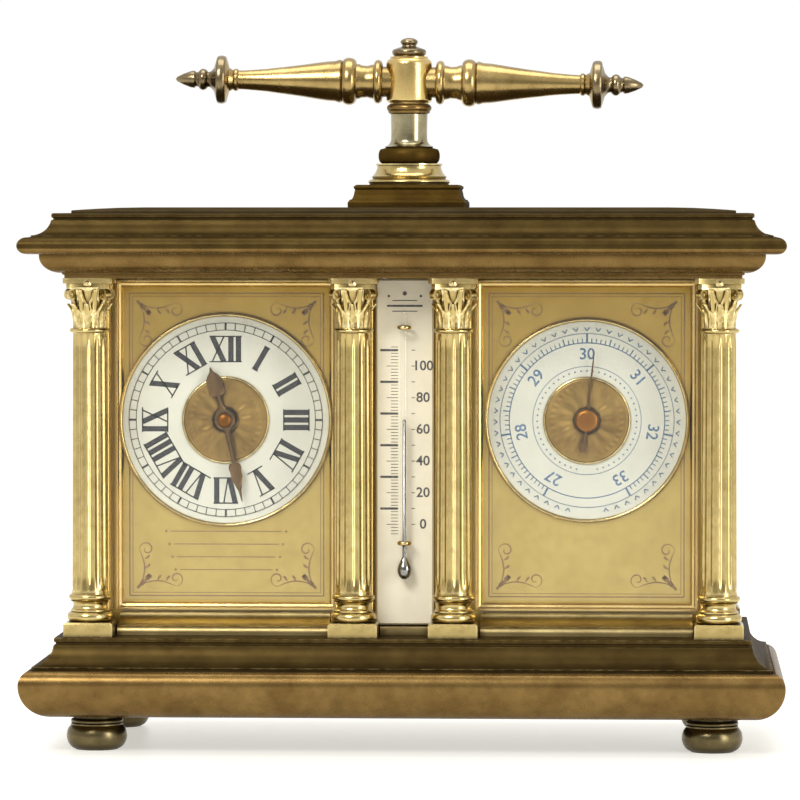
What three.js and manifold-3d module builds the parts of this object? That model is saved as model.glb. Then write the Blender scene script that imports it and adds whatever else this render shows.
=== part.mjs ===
// Desk compendium in a gilt-brass carriage-clock case: a clock on the left, a thermometer in
// the middle and an aneroid barometer on the right, under a swivelling T-handle.
// Millimetres, +Z up, the front faces -Y, the origin is on the table under the case's centre.

import * as THREE from 'three';
import { mergeVertices } from 'three/addons/utils/BufferGeometryUtils.js';
import Module from 'manifold-3d';

const wasm = await Module();
wasm.setup();

// ---------- driving dimensions ----------

const GAP = 0.3; // left between pieces that touch

const CASE_HALF_WIDTH = 85; // at the widest edge of both mouldings
const CASE_HALF_DEPTH = 42;

const FOOT_HEIGHT = 7.6;
const FOOT_RADIUS = 6.8;
const FOOT_X = 69;
const FOOT_Y = 26;

const BASE_BOTTOM = FOOT_HEIGHT + GAP;
const BASE_TOP = 25.5;
const NOSE_Z = 15.4; // height of the base's widest edge
const BASE_DECK = 4; // thickness of the base's top wall
const SILL_TOP = 30; // ledge in front of each dial
const SILL_FRONT = -24.6;
const CENTRE_SILL_TOP = 27.4; // the lower ledge under the thermometer

const CORNICE_BOTTOM = 105.7;
const CORNICE_TIP_Z = 113; // height of the cornice's widest edge
const CORNICE_TOP = 120.2;
const CORNICE_DECK = 4;
const ROOF_RISE = 1;
const ROOF_SLOPE_INSETS = [11, 26]; // from the cornice's widest edge

const COLUMN_BOTTOM = BASE_TOP + GAP;
const COLUMN_TOP = CORNICE_BOTTOM - GAP;
const COLUMN_HALF_SQUARE = 5.5; // plinth and abacus
const PLINTH_TOP = 29;
const SHAFT_BOTTOM = 27.5;
const ABACUS_BOTTOM = 102.6;
const SHAFT_TOP = 102.8;
const OUTER_COLUMN_X = 70.4;
const INNER_COLUMN_X = 11.2;
const COLUMN_Y = 26.6; // front columns at -Y, rear ones at +Y
const POST_FACE = 24; // the flat posts behind the columns lie between these two
const POST_BACK = 18;
const POST_OUTER = 69.4; // outer side of a corner post
const POST_INNER = { front: 66.4, rear: 65.3 }; // its side at the glass or the door
const PILASTER = [7, 15]; // limits of the flat post behind an inner column, in X

const GLASS_THICKNESS = 1.5;
const FRONT_GLASS_FACE = -20.8;
const BAY_INNER = 15.3; // opening of each front bay, from the centre line
const BAY_OUTER = POST_INNER.front - GAP;
const SIDE_GLASS_X = POST_OUTER + GAP;
const SIDE_GLASS_WIDTH = 41.6;

const PANEL_BACK = -16.1; // rear face of the panel between the dials
const PANEL_THICKNESS = 1.5;
const PANEL_HALF_WIDTH = 15;
const TONGUE_HALF_WIDTH = 6.4; // the panel's raised middle carries the thermometer
const PORCELAIN_FACE = -20.8;
const PORCELAIN_HALF_WIDTH = 6.5;
const TUBE_Y = -23.1;

const DIAL_X = 40.8;
const DIAL_Z = 73.5;
const CLOCK_RING_RADIUS = 23.5;
const BAROMETER_RING_RADIUS = 22.4;
const RING_HOLE_RADIUS = 8.3;
const DIAL_CENTRE_RADIUS = 9.4;
const DIAL_CENTRE_HOLE = 2.9;
const DIAL_CENTRE_THICKNESS = 0.5;
const MASK_FACE = -14;
const MASK_THICKNESS = 1.2;
const MASK_HOLE_RADIUS = 3.4;
const RING_FACE = -15.1;
const RING_THICKNESS = 0.8;
const DIAL_CENTRE_FACE = -15.9;
const HOUR_HAND_FACE = -16.9;
const MINUTE_HAND_FACE = -17.8;
const HAND_THICKNESS = 0.5;
const HOUR_ANGLE = -16; // degrees clockwise from twelve, at 11:28
const MINUTE_ANGLE = 168;
const POINTER_ANGLE = 6;
const HOUR_HAND_LENGTH = 12.5;
const MINUTE_HAND_LENGTH = 19;
const POINTER_LENGTH = 16;
const HOUR_PIPE_END = -9.6;
const HOUR_BORE_RADIUS = 1.4;
const MINUTE_BORE_RADIUS = 1.3;

const FRONT_PLATE_Y = -9; // clock movement, front faces of its two plates
const BACK_PLATE_Y = 6.5;
const PLATE_THICKNESS = 2;
const PLATE_HALF_WIDTH = 24.5;
const PLATE_TOP = 93;
const PILLAR_HEIGHTS = [31.5, 88.5];
const PILLAR_OFFSET = 20;
const PILLAR_RADIUS = 2.2;
const ARBOR_RADIUS = 1.5;
const ARBOR_SHOULDER = 10.4;
const ARBOR_END = 12; // both squares for the key end here
const BARREL_TO_CENTRE = 16.9;
const CENTRE_TO_THIRD = 12.6;
const BARREL_Z = DIAL_Z - BARREL_TO_CENTRE;
const BARREL_RADIUS = 13.5;
const BARREL_BORE_RADIUS = 2.6;
const WINDING_ARBOR_RADIUS = 2;
const BALANCE_FROM_CENTRE = 6.2; // the balance stands this far left of the dial's centre
const BALANCE_RADIUS = 6.6;
const BALANCE_RIM = 1.1;

const CAPSULE_RADIUS = 17;
const ANEROID_BASE_RADIUS = 23.5;
const ANEROID_BASE_Y = 6.5;
const ANEROID_BASE_THICKNESS = 1.6;
const ANEROID_LEG_CIRCLE = 21;
const BRIDGE_FACE = -8.4;
const BRIDGE_THICKNESS = 1.4;
const ADJUSTER_RADIUS = 2.6;
const ADJUSTER_END = 19.6;

const DOOR_FACE = 20.8; // rear face of the door
const DOOR_THICKNESS = 4;
const DOOR_HINGE_X = -62.6;
const DOOR_INNER_X = -6.9;
const DOOR_BAR = 5.5;
const DOOR_BOTTOM = COLUMN_BOTTOM + GAP;
const DOOR_TOP = COLUMN_TOP - GAP;
const DOOR_PIN_RADIUS = 0.9;
const DOOR_PIN_REACH = 4; // of each pin into the door
const DOOR_KNOB_Z = 64;
const BACK_PLATE_ENDS = [-6.2, 64.6];
const ADJUSTER_HOLE_RADIUS = 3.2;

const HANDLE_PLINTH_TOP = 126.6;
const COLLAR_TOP = 131.2;
const POST_TOP = 145;
const HUB_TOP = 155.8;
const HANDLE_AXIS_Z = 150;
const HANDLE_LEAN = 0.85; // degrees, the right arm hangs a little lower

// ---------- materials ----------

const metal = (color, roughness) =>
  new THREE.MeshStandardMaterial({ color, roughness, metalness: 1 });
const plain = (color, roughness) =>
  new THREE.MeshStandardMaterial({ color, roughness, metalness: 0 });

const gilt = metal(0xc9a95c, 0.3);
const agedBrass = metal(0x8a6a35, 0.35);
const darkBrass = metal(0x4f3c20, 0.4);
const satinGilt = metal(0xc4a765, 0.5);
const movementBrass = metal(0xb99450, 0.35);
const steel = metal(0x8f9094, 0.3);
const blackened = metal(0x2a211a, 0.5);
const enamel = plain(0xe9e6d8, 0.25);
const porcelain = plain(0xece8dc, 0.3);
const glass = new THREE.MeshStandardMaterial({
  color: 0xeef4f2, roughness: 0.02, metalness: 0, transparent: true, opacity: 0.2,
});

// ---------- geometry helpers ----------

const object = new THREE.Group();

function add(name, geometry, material) {
  const mesh = new THREE.Mesh(geometry, material);
  mesh.name = name;
  object.add(mesh);
  return mesh;
}

function toSolid(geometry) {
  const bare = geometry.clone();
  bare.deleteAttribute('normal');
  bare.deleteAttribute('uv');
  const merged = mergeVertices(bare, 1e-4);
  return new wasm.Manifold(new wasm.Mesh({
    numProp: 3,
    vertProperties: new Float32Array(merged.attributes.position.array),
    triVerts: new Uint32Array(merged.index.array),
  }));
}

function toGeometry(solid) {
  const mesh = solid.getMesh();
  const geometry = new THREE.BufferGeometry();
  geometry.setAttribute('position', new THREE.BufferAttribute(mesh.vertProperties, 3));
  geometry.setIndex(new THREE.BufferAttribute(mesh.triVerts, 1));
  return geometry;
}

function join(...geometries) {
  return toGeometry(geometries.map(toSolid).reduce((sum, next) => sum.add(next)));
}

function cut(geometry, ...tools) {
  return toGeometry(tools.map(toSolid).reduce((rest, tool) => rest.subtract(tool), toSolid(geometry)));
}

function box([x0, x1], [y0, y1], [z0, z1]) {
  return new THREE.BoxGeometry(x1 - x0, y1 - y0, z1 - z0)
    .translate((x0 + x1) / 2, (y0 + y1) / 2, (z0 + z1) / 2);
}

// Profiles are lists of [radius, distance along the axis], which start and end on the axis.
function turned(profile, segments) {
  return new THREE.LatheGeometry(profile.map(([r, h]) => new THREE.Vector2(r, h)), segments);
}

function turnedUp(profile, segments = 16) {
  return turned(profile, segments).rotateX(Math.PI / 2);
}

// A round bar along Y between two distances, centred on x, z.
function barY(radius, y0, y1, x, z, segments = 16) {
  return turned([[0, y0], [radius, y0], [radius, y1], [0, y1]], segments).translate(x, 0, z);
}

function barZ(radius, z0, z1, x, y, segments = 16) {
  return turnedUp([[0, z0], [radius, z0], [radius, z1], [0, z1]], segments).translate(x, y, 0);
}

// Flat work: a shape drawn in X and Z with a front face at y.
function flatWork(shape, y, thickness, curveSegments = 8) {
  return new THREE.ExtrudeGeometry(shape, { depth: thickness, bevelEnabled: false, curveSegments })
    .rotateX(Math.PI / 2)
    .translate(0, y + thickness, 0);
}

function roundShape(radius, holeRadius) {
  const shape = new THREE.Shape().absarc(0, 0, radius, 0, 2 * Math.PI);
  if (holeRadius) {
    shape.holes.push(new THREE.Path().absarc(0, 0, holeRadius, 0, 2 * Math.PI, true));
  }
  return shape;
}

function polygon(points) {
  return new THREE.Shape(points.map(([x, y]) => new THREE.Vector2(x, y)));
}

// A closed skin over a stack of four-cornered rings, each a list of four [x, y, z] corners.
function loft(rings) {
  const triangles = [0, 2, 1, 0, 3, 2];
  for (let level = 0; level + 1 < rings.length; level += 1) {
    for (let side = 0; side < 4; side += 1) {
      const a = level * 4 + side;
      const b = level * 4 + ((side + 1) % 4);
      triangles.push(a, b, b + 4, a, b + 4, a + 4);
    }
  }
  const last = (rings.length - 1) * 4;
  triangles.push(last, last + 1, last + 2, last, last + 2, last + 3);
  const geometry = new THREE.BufferGeometry();
  geometry.setAttribute('position', new THREE.Float32BufferAttribute(rings.flat(2), 3));
  geometry.setIndex(triangles);
  return geometry;
}

const level = (x, y, z) => [[-x, -y, z], [x, -y, z], [x, y, z], [-x, y, z]];

// A rectangular moulding: a stack of rectangles, each inset from the widest one.
function moulding(profile) {
  return loft(profile.map(([inset, z]) => level(CASE_HALF_WIDTH - inset, CASE_HALF_DEPTH - inset, z)));
}

// Points of an elliptical arc, in [inset, height], from one angle to another in degrees.
function arc(inset, height, insetRadius, heightRadius, from, to, steps) {
  return Array.from({ length: steps + 1 }, (_, i) => {
    const angle = THREE.MathUtils.degToRad(from + ((to - from) * i) / steps);
    return [inset + insetRadius * Math.cos(angle), height + heightRadius * Math.sin(angle)];
  });
}

// A wheel with pointed teeth, drawn flat, with a bore.
function wheelShape(teeth, tipRadius, toothDepth, boreRadius) {
  const points = [];
  for (let i = 0; i < 2 * teeth; i += 1) {
    const radius = i % 2 ? tipRadius - toothDepth : tipRadius;
    const angle = (i * Math.PI) / teeth;
    points.push([radius * Math.cos(angle), radius * Math.sin(angle)]);
  }
  const shape = polygon(points);
  if (boreRadius) {
    shape.holes.push(new THREE.Path().absarc(0, 0, boreRadius, 0, 2 * Math.PI, true));
  }
  return shape;
}

// ---------- case: feet, base, cornice, roof ----------

function foot() {
  return turnedUp([
    [0, 0], [4.8, 0], [6.3, 1.1], [FOOT_RADIUS, 3.2], [6.2, 5.4], [4.9, 6.6], [4.9, FOOT_HEIGHT],
    [0, FOOT_HEIGHT],
  ]);
}

function buildFeet() {
  for (const [side, sx] of [['left', -1], ['right', 1]]) {
    for (const [end, sy] of [['front', -1], ['rear', 1]]) {
      add(`foot_${end}_${side}`, foot(), darkBrass).position.set(sx * FOOT_X, sy * FOOT_Y, 0);
    }
  }
}

function buildBase() {
  const inset = 7.3; // of the base's top and bottom edges
  const nose = arc(inset, NOSE_Z, inset, NOSE_Z - BASE_BOTTOM, 270, 180, 5);
  const shoulder = arc(3, NOSE_Z, 3, 3.4, 160, 100, 2);
  const cavetto = arc(2.7, 25, 4.6, 6, 270, 352, 5);
  const outside = moulding([...nose, ...shoulder, ...cavetto, [inset, 24.3], [inset, BASE_TOP]]);
  const pocketTop = BASE_TOP - BASE_DECK;
  const lug = 18; // solid corners over the feet
  const x = CASE_HALF_WIDTH - 11;
  const y = CASE_HALF_DEPTH - 11;
  const pocket = new THREE.ExtrudeGeometry(polygon([
    [x, y - lug], [x - lug, y], [lug - x, y], [-x, y - lug],
    [-x, lug - y], [lug - x, -y], [x - lug, -y], [x, lug - y],
  ]), { depth: pocketTop, bevelEnabled: false });
  const clear = COLUMN_HALF_SQUARE + GAP;
  const betweenPlinths = [INNER_COLUMN_X + clear, OUTER_COLUMN_X - clear];
  const root = BASE_TOP - 1; // the sills start inside the deck
  const sills = [-1, 1].map((side) => {
    const ends = betweenPlinths.map((end) => side * end).sort((a, b) => a - b);
    return box(ends, [SILL_FRONT, MASK_FACE - GAP], [root, SILL_TOP]);
  });
  const centreEnd = INNER_COLUMN_X - clear;
  const centreSill = box([-centreEnd, centreEnd], [SILL_FRONT + 1.1, PANEL_BACK], [root, CENTRE_SILL_TOP]);
  const solid = join(outside, ...sills, centreSill);
  add('base_moulding', cut(solid, pocket), agedBrass);
}

function buildCornice() {
  const bottomInset = 9.6;
  const topInset = 7;
  const ovolo = arc(9.1, 110.9, 4.7, 4.1, 270, 180, 4);
  const tip = arc(2, CORNICE_TIP_Z, 2, 1.9, 270, 90, 6);
  const cavetto = arc(2.6, 119.4, 4.3, 4.3, 270, 350, 5);
  const outside = moulding([
    [bottomInset, CORNICE_BOTTOM], [bottomInset, 106.7], ...ovolo, ...tip, ...cavetto,
    [topInset, 119], [topInset, CORNICE_TOP],
  ]);
  const wall = 22.5;
  const x = CASE_HALF_WIDTH - wall;
  const y = CASE_HALF_DEPTH - wall;
  const pocket = box([-x, x], [-y, y], [CORNICE_BOTTOM - 1, CORNICE_TOP - CORNICE_DECK]);
  add('cornice_moulding', cut(outside, pocket), agedBrass);

  const [edge, ridge] = ROOF_SLOPE_INSETS;
  const bottom = CORNICE_TOP + GAP;
  const rim = 0.3;
  add('roof_panel', moulding([
    [edge, bottom], [edge, bottom + rim], [ridge, bottom + ROOF_RISE],
  ]), darkBrass);
}

// ---------- columns ----------

const COLUMN_PROFILE = [
  [0, SHAFT_BOTTOM], [4.9, SHAFT_BOTTOM], [5, 30.1], [4.9, 31.3], [4.2, 31.9], [4.1, 33.1],
  [4.7, 33.7], [4.7, 34.9], [4.05, 35.8], [3.8, 93.2], [4.4, 93.8], [4.4, 94.6], [3.9, 95.2],
  [4.3, 99.6], [5.2, SHAFT_TOP], [0, SHAFT_TOP],
];

function column(x, y) {
  const side = COLUMN_HALF_SQUARE;
  const shaft = turnedUp(COLUMN_PROFILE, 12).translate(x, y, 0);
  const plinth = box([x - side, x + side], [y - side, y + side], [COLUMN_BOTTOM, PLINTH_TOP]);
  const abacus = box([x - side, x + side], [y - side, y + side], [ABACUS_BOTTOM, COLUMN_TOP]);
  return [shaft, plinth, abacus];
}

// The posts behind the columns hold the edges of the glasses.
function post(points) {
  const relief = 0.2;
  const depth = COLUMN_TOP - COLUMN_BOTTOM - 2 * relief;
  return new THREE.ExtrudeGeometry(polygon(points), { depth, bevelEnabled: false })
    .translate(0, 0, COLUMN_BOTTOM + relief);
}

function mirrored(points, sx, sy) {
  const moved = points.map(([x, y]) => [sx * x, sy * y]);
  return sx * sy < 0 ? moved.reverse() : moved;
}

function buildColumns() {
  const armFace = 21.6; // the arm of a corner post covers the edge of the side glass
  const armEnd = 73.8;
  for (const [side, sx] of [['left', -1], ['right', 1]]) {
    for (const [end, sy] of [['front', -1], ['rear', 1]]) {
      const inner = POST_INNER[end];
      const section = [
        [inner, POST_BACK], [POST_OUTER, POST_BACK], [POST_OUTER, armFace], [armEnd, armFace],
        [armEnd, POST_FACE], [inner, POST_FACE],
      ];
      const pieces = column(sx * OUTER_COLUMN_X, sy * COLUMN_Y);
      add(`column_${end}_${side}`, join(...pieces, post(mirrored(section, sx, sy))), gilt);
    }
    const [near, far] = PILASTER;
    const pilaster = [[near, POST_BACK], [far, POST_BACK], [far, POST_FACE], [near, POST_FACE]];
    const pieces = column(sx * INNER_COLUMN_X, -COLUMN_Y);
    add(`column_inner_${side}`, join(...pieces, post(mirrored(pilaster, sx, -1))), gilt);
  }
}

// ---------- thermometer ----------

function buildThermometer() {
  const bottom = CENTRE_SILL_TOP + GAP;
  const face = PANEL_BACK - PANEL_THICKNESS;
  const tongue = face - PANEL_THICKNESS;
  const tSection = polygon([
    [-PANEL_HALF_WIDTH, face], [-TONGUE_HALF_WIDTH, face], [-TONGUE_HALF_WIDTH, tongue],
    [TONGUE_HALF_WIDTH, tongue], [TONGUE_HALF_WIDTH, face], [PANEL_HALF_WIDTH, face],
    [PANEL_HALF_WIDTH, PANEL_BACK], [-PANEL_HALF_WIDTH, PANEL_BACK],
  ]);
  const panelBottom = SILL_TOP + GAP;
  const height = COLUMN_TOP - panelBottom;
  const panel = new THREE.ExtrudeGeometry(tSection, { depth: height, bevelEnabled: false });
  add('centre_panel', panel.translate(0, 0, panelBottom), satinGilt);
  const edges = [-PORCELAIN_HALF_WIDTH, PORCELAIN_HALF_WIDTH];
  const plate = box(edges, [PORCELAIN_FACE, tongue - GAP], [bottom, COLUMN_TOP]);
  add('thermometer_plate', plate, porcelain);
  add('thermometer_tube', turnedUp([
    [0, 37.6], [1.3, 38.1], [1.9, 39.4], [1.9, 41], [1.3, 42.6], [0.9, 43.6], [0.9, 98], [0, 98.6],
  ], 12).translate(0, TUBE_Y, 0), glass);
}

// ---------- glasses ----------

// A pane with a bevelled edge on its outer face, standing in X and Z with that face at y = 0.
function pane(width, height) {
  const bevel = 3;
  const edge = 0.7;
  const ring = (x, z, y) => [[-x, y, -z], [x, y, -z], [x, y, z], [-x, y, z]];
  return loft([
    ring(width / 2, height / 2, GLASS_THICKNESS),
    ring(width / 2, height / 2, edge),
    ring(width / 2 - bevel, height / 2 - bevel, 0),
  ]);
}

function buildGlasses() {
  const bottom = SILL_TOP + GAP;
  const frontHeight = COLUMN_TOP - bottom;
  const sideHeight = COLUMN_TOP - COLUMN_BOTTOM;
  for (const [side, sx] of [['left', -1], ['right', 1]]) {
    const front = add(`glass_front_${side}`, pane(BAY_OUTER - BAY_INNER, frontHeight), glass);
    front.position.set(sx * (BAY_INNER + BAY_OUTER) / 2, FRONT_GLASS_FACE, bottom + frontHeight / 2);
    const flank = add(`glass_side_${side}`, pane(SIDE_GLASS_WIDTH, sideHeight), glass);
    flank.rotation.z = (sx * Math.PI) / 2;
    flank.position.set(sx * (SIDE_GLASS_X + GLASS_THICKNESS), 0, COLUMN_BOTTOM + sideHeight / 2);
  }
}

// ---------- dials and hands ----------

function buildDials() {
  const radii = { clock: CLOCK_RING_RADIUS, barometer: BAROMETER_RING_RADIUS };
  for (const [name, side, sx] of [['clock', 'left', -1], ['barometer', 'right', 1]]) {
    const x = sx * DIAL_X;
    const ends = [sx * GAP, sx * (POST_OUTER - GAP)].sort((a, b) => a - b);
    const plate = box(ends, [MASK_FACE, MASK_FACE + MASK_THICKNESS], [COLUMN_BOTTOM, COLUMN_TOP]);
    const hole = barY(MASK_HOLE_RADIUS, MASK_FACE - 1, MASK_FACE + MASK_THICKNESS + 1, x, DIAL_Z);
    add(`mask_${side}`, cut(plate, hole), satinGilt);
    const ring = flatWork(roundShape(radii[name], RING_HOLE_RADIUS), RING_FACE, RING_THICKNESS, 20);
    add(`${name}_ring`, ring, enamel).position.set(x, 0, DIAL_Z);
    const disc = roundShape(DIAL_CENTRE_RADIUS, DIAL_CENTRE_HOLE);
    const centre = flatWork(disc, DIAL_CENTRE_FACE, DIAL_CENTRE_THICKNESS, 14);
    add(`${name}_dial_centre`, centre, satinGilt).position.set(x, 0, DIAL_Z);
  }
}

// A spade hand: a round boss, a slim arm and a leaf before the point.
function spadeHand(length, bossRadius, armHalfWidth, leafHalfWidth) {
  const leaf = length * 0.72;
  const right = [
    [armHalfWidth, bossRadius * 0.85], [armHalfWidth * 0.8, leaf - 1.6], [leafHalfWidth, leaf],
    [leafHalfWidth * 0.5, leaf + 1.2], [0.25, length - 0.6],
  ];
  const left = right.map(([x, z]) => [-x, z]).reverse();
  return flatWork(polygon([...right, [0, length], ...left]), 0, HAND_THICKNESS);
}

function buildHands() {
  const turn = THREE.MathUtils.degToRad;
  const hourBlade = join(
    spadeHand(HOUR_HAND_LENGTH, 2.4, 0.55, 1.7),
    barY(2.4, 0, HAND_THICKNESS, 0, 0),
    barY(2.2, 0, HOUR_PIPE_END - HOUR_HAND_FACE, 0, 0),
  );
  const hour = add('hour_hand', cut(hourBlade, barY(HOUR_BORE_RADIUS, -1, 10, 0, 0, 12)), blackened);
  hour.rotation.y = turn(HOUR_ANGLE);
  hour.position.set(-DIAL_X, HOUR_HAND_FACE, DIAL_Z);

  const minuteBlade = join(
    spadeHand(MINUTE_HAND_LENGTH, 1.9, 0.5, 1.3),
    barY(1.9, 0, HAND_THICKNESS, 0, 0),
  );
  const minute = add('minute_hand', cut(minuteBlade, barY(MINUTE_BORE_RADIUS, -1, 1, 0, 0, 12)), blackened);
  minute.rotation.y = turn(MINUTE_ANGLE);
  minute.position.set(-DIAL_X, MINUTE_HAND_FACE, DIAL_Z);

  const needle = flatWork(polygon([
    [0.8, -4], [0.5, 0], [0.35, POINTER_LENGTH - 4], [0, POINTER_LENGTH], [-0.35, POINTER_LENGTH - 4],
    [-0.5, 0], [-0.8, -4], [-1.4, -6.4], [0, -7.4], [1.4, -6.4],
  ]), 0, HAND_THICKNESS);
  const boss = barY(2, -0.7, HAND_THICKNESS, 0, 0);
  const pointerArbor = barY(0.8, 0, 9, 0, 0, 12);
  const pointer = add('barometer_pointer', join(needle, boss, pointerArbor), blackened);
  pointer.rotation.y = turn(POINTER_ANGLE);
  pointer.position.set(DIAL_X, HOUR_HAND_FACE, DIAL_Z);
}

// ---------- clock movement ----------

function movementPlate(front) {
  const x0 = -DIAL_X - PLATE_HALF_WIDTH;
  const x1 = -DIAL_X + PLATE_HALF_WIDTH;
  const plate = box([x0, x1], [front, front + PLATE_THICKNESS], [COLUMN_BOTTOM, PLATE_TOP]);
  const through = [front - 1, front + PLATE_THICKNESS + 1];
  const holes = [
    barY(2.1, ...through, -DIAL_X, DIAL_Z),
    barY(BARREL_BORE_RADIUS, ...through, -DIAL_X, BARREL_Z),
  ];
  return cut(plate, ...holes);
}

function buildMovementFrame() {
  add('movement_front_plate', movementPlate(FRONT_PLATE_Y), movementBrass);
  add('movement_back_plate', movementPlate(BACK_PLATE_Y), movementBrass);
  const y0 = FRONT_PLATE_Y + PLATE_THICKNESS + GAP;
  const y1 = BACK_PLATE_Y - GAP;
  let count = 0;
  for (const sx of [-1, 1]) {
    for (const z of PILLAR_HEIGHTS) {
      count += 1;
      const pillar = barY(PILLAR_RADIUS, y0, y1, -DIAL_X + sx * PILLAR_OFFSET, z, 12);
      add(`movement_pillar_${count}`, pillar, movementBrass);
    }
  }
}

// The square end of an arbor, which takes the key.
function keySquare(halfSide) {
  return box([-halfSide, halfSide], [ARBOR_SHOULDER - 0.4, ARBOR_END], [-halfSide, halfSide]);
}

function buildTrain() {
  const drum = turned([[0, -5.2], [BARREL_RADIUS, -5.2], [BARREL_RADIUS, 3.6], [0, 3.6]], 32);
  const greatWheel = flatWork(wheelShape(56, BARREL_RADIUS + 1.5, 0.9), 3.4, 1.6);
  const bore = barY(BARREL_BORE_RADIUS, -6, 6, 0, 0);
  const barrel = add('mainspring_barrel', cut(join(drum, greatWheel), bore), movementBrass);
  barrel.position.set(-DIAL_X, 0, BARREL_Z);

  const ratchetFace = BACK_PLATE_Y + PLATE_THICKNESS + 0.4;
  const windingArbor = join(
    barY(WINDING_ARBOR_RADIUS, -5, ARBOR_SHOULDER, 0, 0),
    flatWork(wheelShape(18, 6.2, 0.9), ratchetFace, 1.1),
    keySquare(1.5),
  );
  add('winding_arbor', windingArbor, steel).position.set(-DIAL_X, 0, BARREL_Z);

  const frontEnd = MINUTE_HAND_FACE - 0.9; // in front of the minute hand
  const centreArbor = join(
    barY(1, frontEnd + 0.3, FRONT_PLATE_Y + PLATE_THICKNESS, 0, 0, 12),
    barY(ARBOR_RADIUS, frontEnd, frontEnd + 0.5, 0, 0, 12),
    barY(ARBOR_RADIUS, -7.2, ARBOR_SHOULDER, 0, 0, 12),
    keySquare(1.05),
  );
  add('centre_arbor', centreArbor, steel).position.set(-DIAL_X, 0, DIAL_Z);

  const wheelThickness = 0.8;
  const boreRadius = ARBOR_RADIUS + GAP;
  const centreWheel = flatWork(wheelShape(48, 11, 0.7, boreRadius), -6.5, wheelThickness);
  add('centre_wheel', centreWheel, movementBrass).position.set(-DIAL_X, 0, DIAL_Z);

  const step = CENTRE_TO_THIRD * Math.SQRT1_2;
  const pivots = [FRONT_PLATE_Y + PLATE_THICKNESS + GAP, BACK_PLATE_Y - GAP];
  const thirdWheel = join(
    barY(1.3, ...pivots, 0, 0, 12),
    flatWork(wheelShape(44, 8, 0.6), 4.3, wheelThickness),
  );
  add('third_wheel', thirdWheel, movementBrass).position.set(-DIAL_X + step, 0, DIAL_Z + step);
}

function buildEscapement() {
  const x = -DIAL_X - BALANCE_FROM_CENTRE;
  const floor = PLATE_TOP + GAP;
  const deck = floor + 1.5;
  const pillarX = x + BALANCE_RADIUS + 2.9;
  const pillarTop = deck + 6.2;
  const cockHalfWidth = 1.8;
  const platform = join(
    box([x - 10, x + 22], [FRONT_PLATE_Y, BACK_PLATE_Y + PLATE_THICKNESS], [floor, deck]),
    barZ(cockHalfWidth, deck - 0.5, pillarTop, pillarX, 0, 12),
    box([x - 2, pillarX + 1.8], [-cockHalfWidth, cockHalfWidth], [pillarTop - 1, pillarTop + 0.2]),
  );
  add('balance_platform', platform, movementBrass);

  const rimBottom = deck + 2;
  const inner = BALANCE_RADIUS - BALANCE_RIM;
  const rim = cut(
    barZ(BALANCE_RADIUS, rimBottom, rimBottom + 1.1, 0, 0, 28),
    barZ(inner, rimBottom - 1, rimBottom + 2, 0, 0, 24),
  );
  const balance = join(
    rim,
    box([-inner - 0.5, inner + 0.5], [-0.7, 0.7], [rimBottom + 0.2, rimBottom + 0.9]),
    barZ(0.6, deck + 0.4, deck + 4.9, 0, 0, 10),
  );
  add('balance_wheel', balance, gilt).position.set(x, 0, 0);
}

// ---------- aneroid ----------

function buildAneroid() {
  const corrugations = [[0, -3.2], [3, -3.2], [3, -2], [6, -2.4], [8, -1.8], [10.5, -2.4], [13, -1.8]];
  const capsuleBack = 4.5;
  const drum = [
    [CAPSULE_RADIUS - 2, -2.4], [CAPSULE_RADIUS, -2], [CAPSULE_RADIUS, capsuleBack], [0, capsuleBack],
  ];
  add('aneroid_capsule', turned([...corrugations, ...drum], 28), metal(0xa9a79b, 0.35))
    .position.set(DIAL_X, 0, DIAL_Z);

  const legs = [90, 210, 330].map((angle) => {
    const a = THREE.MathUtils.degToRad(angle);
    const x = ANEROID_LEG_CIRCLE * Math.cos(a);
    const z = ANEROID_LEG_CIRCLE * Math.sin(a);
    return barY(1.6, MASK_FACE + MASK_THICKNESS + GAP, ANEROID_BASE_Y + 0.5, x, z, 10);
  });
  const base = flatWork(roundShape(ANEROID_BASE_RADIUS, 3), ANEROID_BASE_Y, ANEROID_BASE_THICKNESS, 16);
  const bridgeBack = BRIDGE_FACE + BRIDGE_THICKNESS;
  const bridge = box([-5, 5], [BRIDGE_FACE, bridgeBack], [-3, ANEROID_LEG_CIRCLE + 0.5]);
  const pointerHole = barY(1.3, BRIDGE_FACE - 0.6, bridgeBack + 1, 0, 0, 12);
  const frame = cut(join(base, bridge, ...legs), pointerHole);
  add('aneroid_frame', frame, movementBrass).position.set(DIAL_X, 0, DIAL_Z);

  const start = capsuleBack + GAP;
  const neck = 8.8;
  const slot = 0.8;
  const screw = cut(
    turned([
      [0, start], [1.6, start], [1.6, neck], [ADJUSTER_RADIUS, neck],
      [ADJUSTER_RADIUS, ADJUSTER_END - 1.4], [ADJUSTER_RADIUS - 0.4, ADJUSTER_END], [0, ADJUSTER_END],
    ], 16),
    box([-3, 3], [ADJUSTER_END - 1, ADJUSTER_END + 0.4], [-slot / 2, slot / 2]),
  );
  add('barometer_adjuster', screw, steel).position.set(DIAL_X, 0, DIAL_Z);
}

// ---------- back of the case ----------

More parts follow.
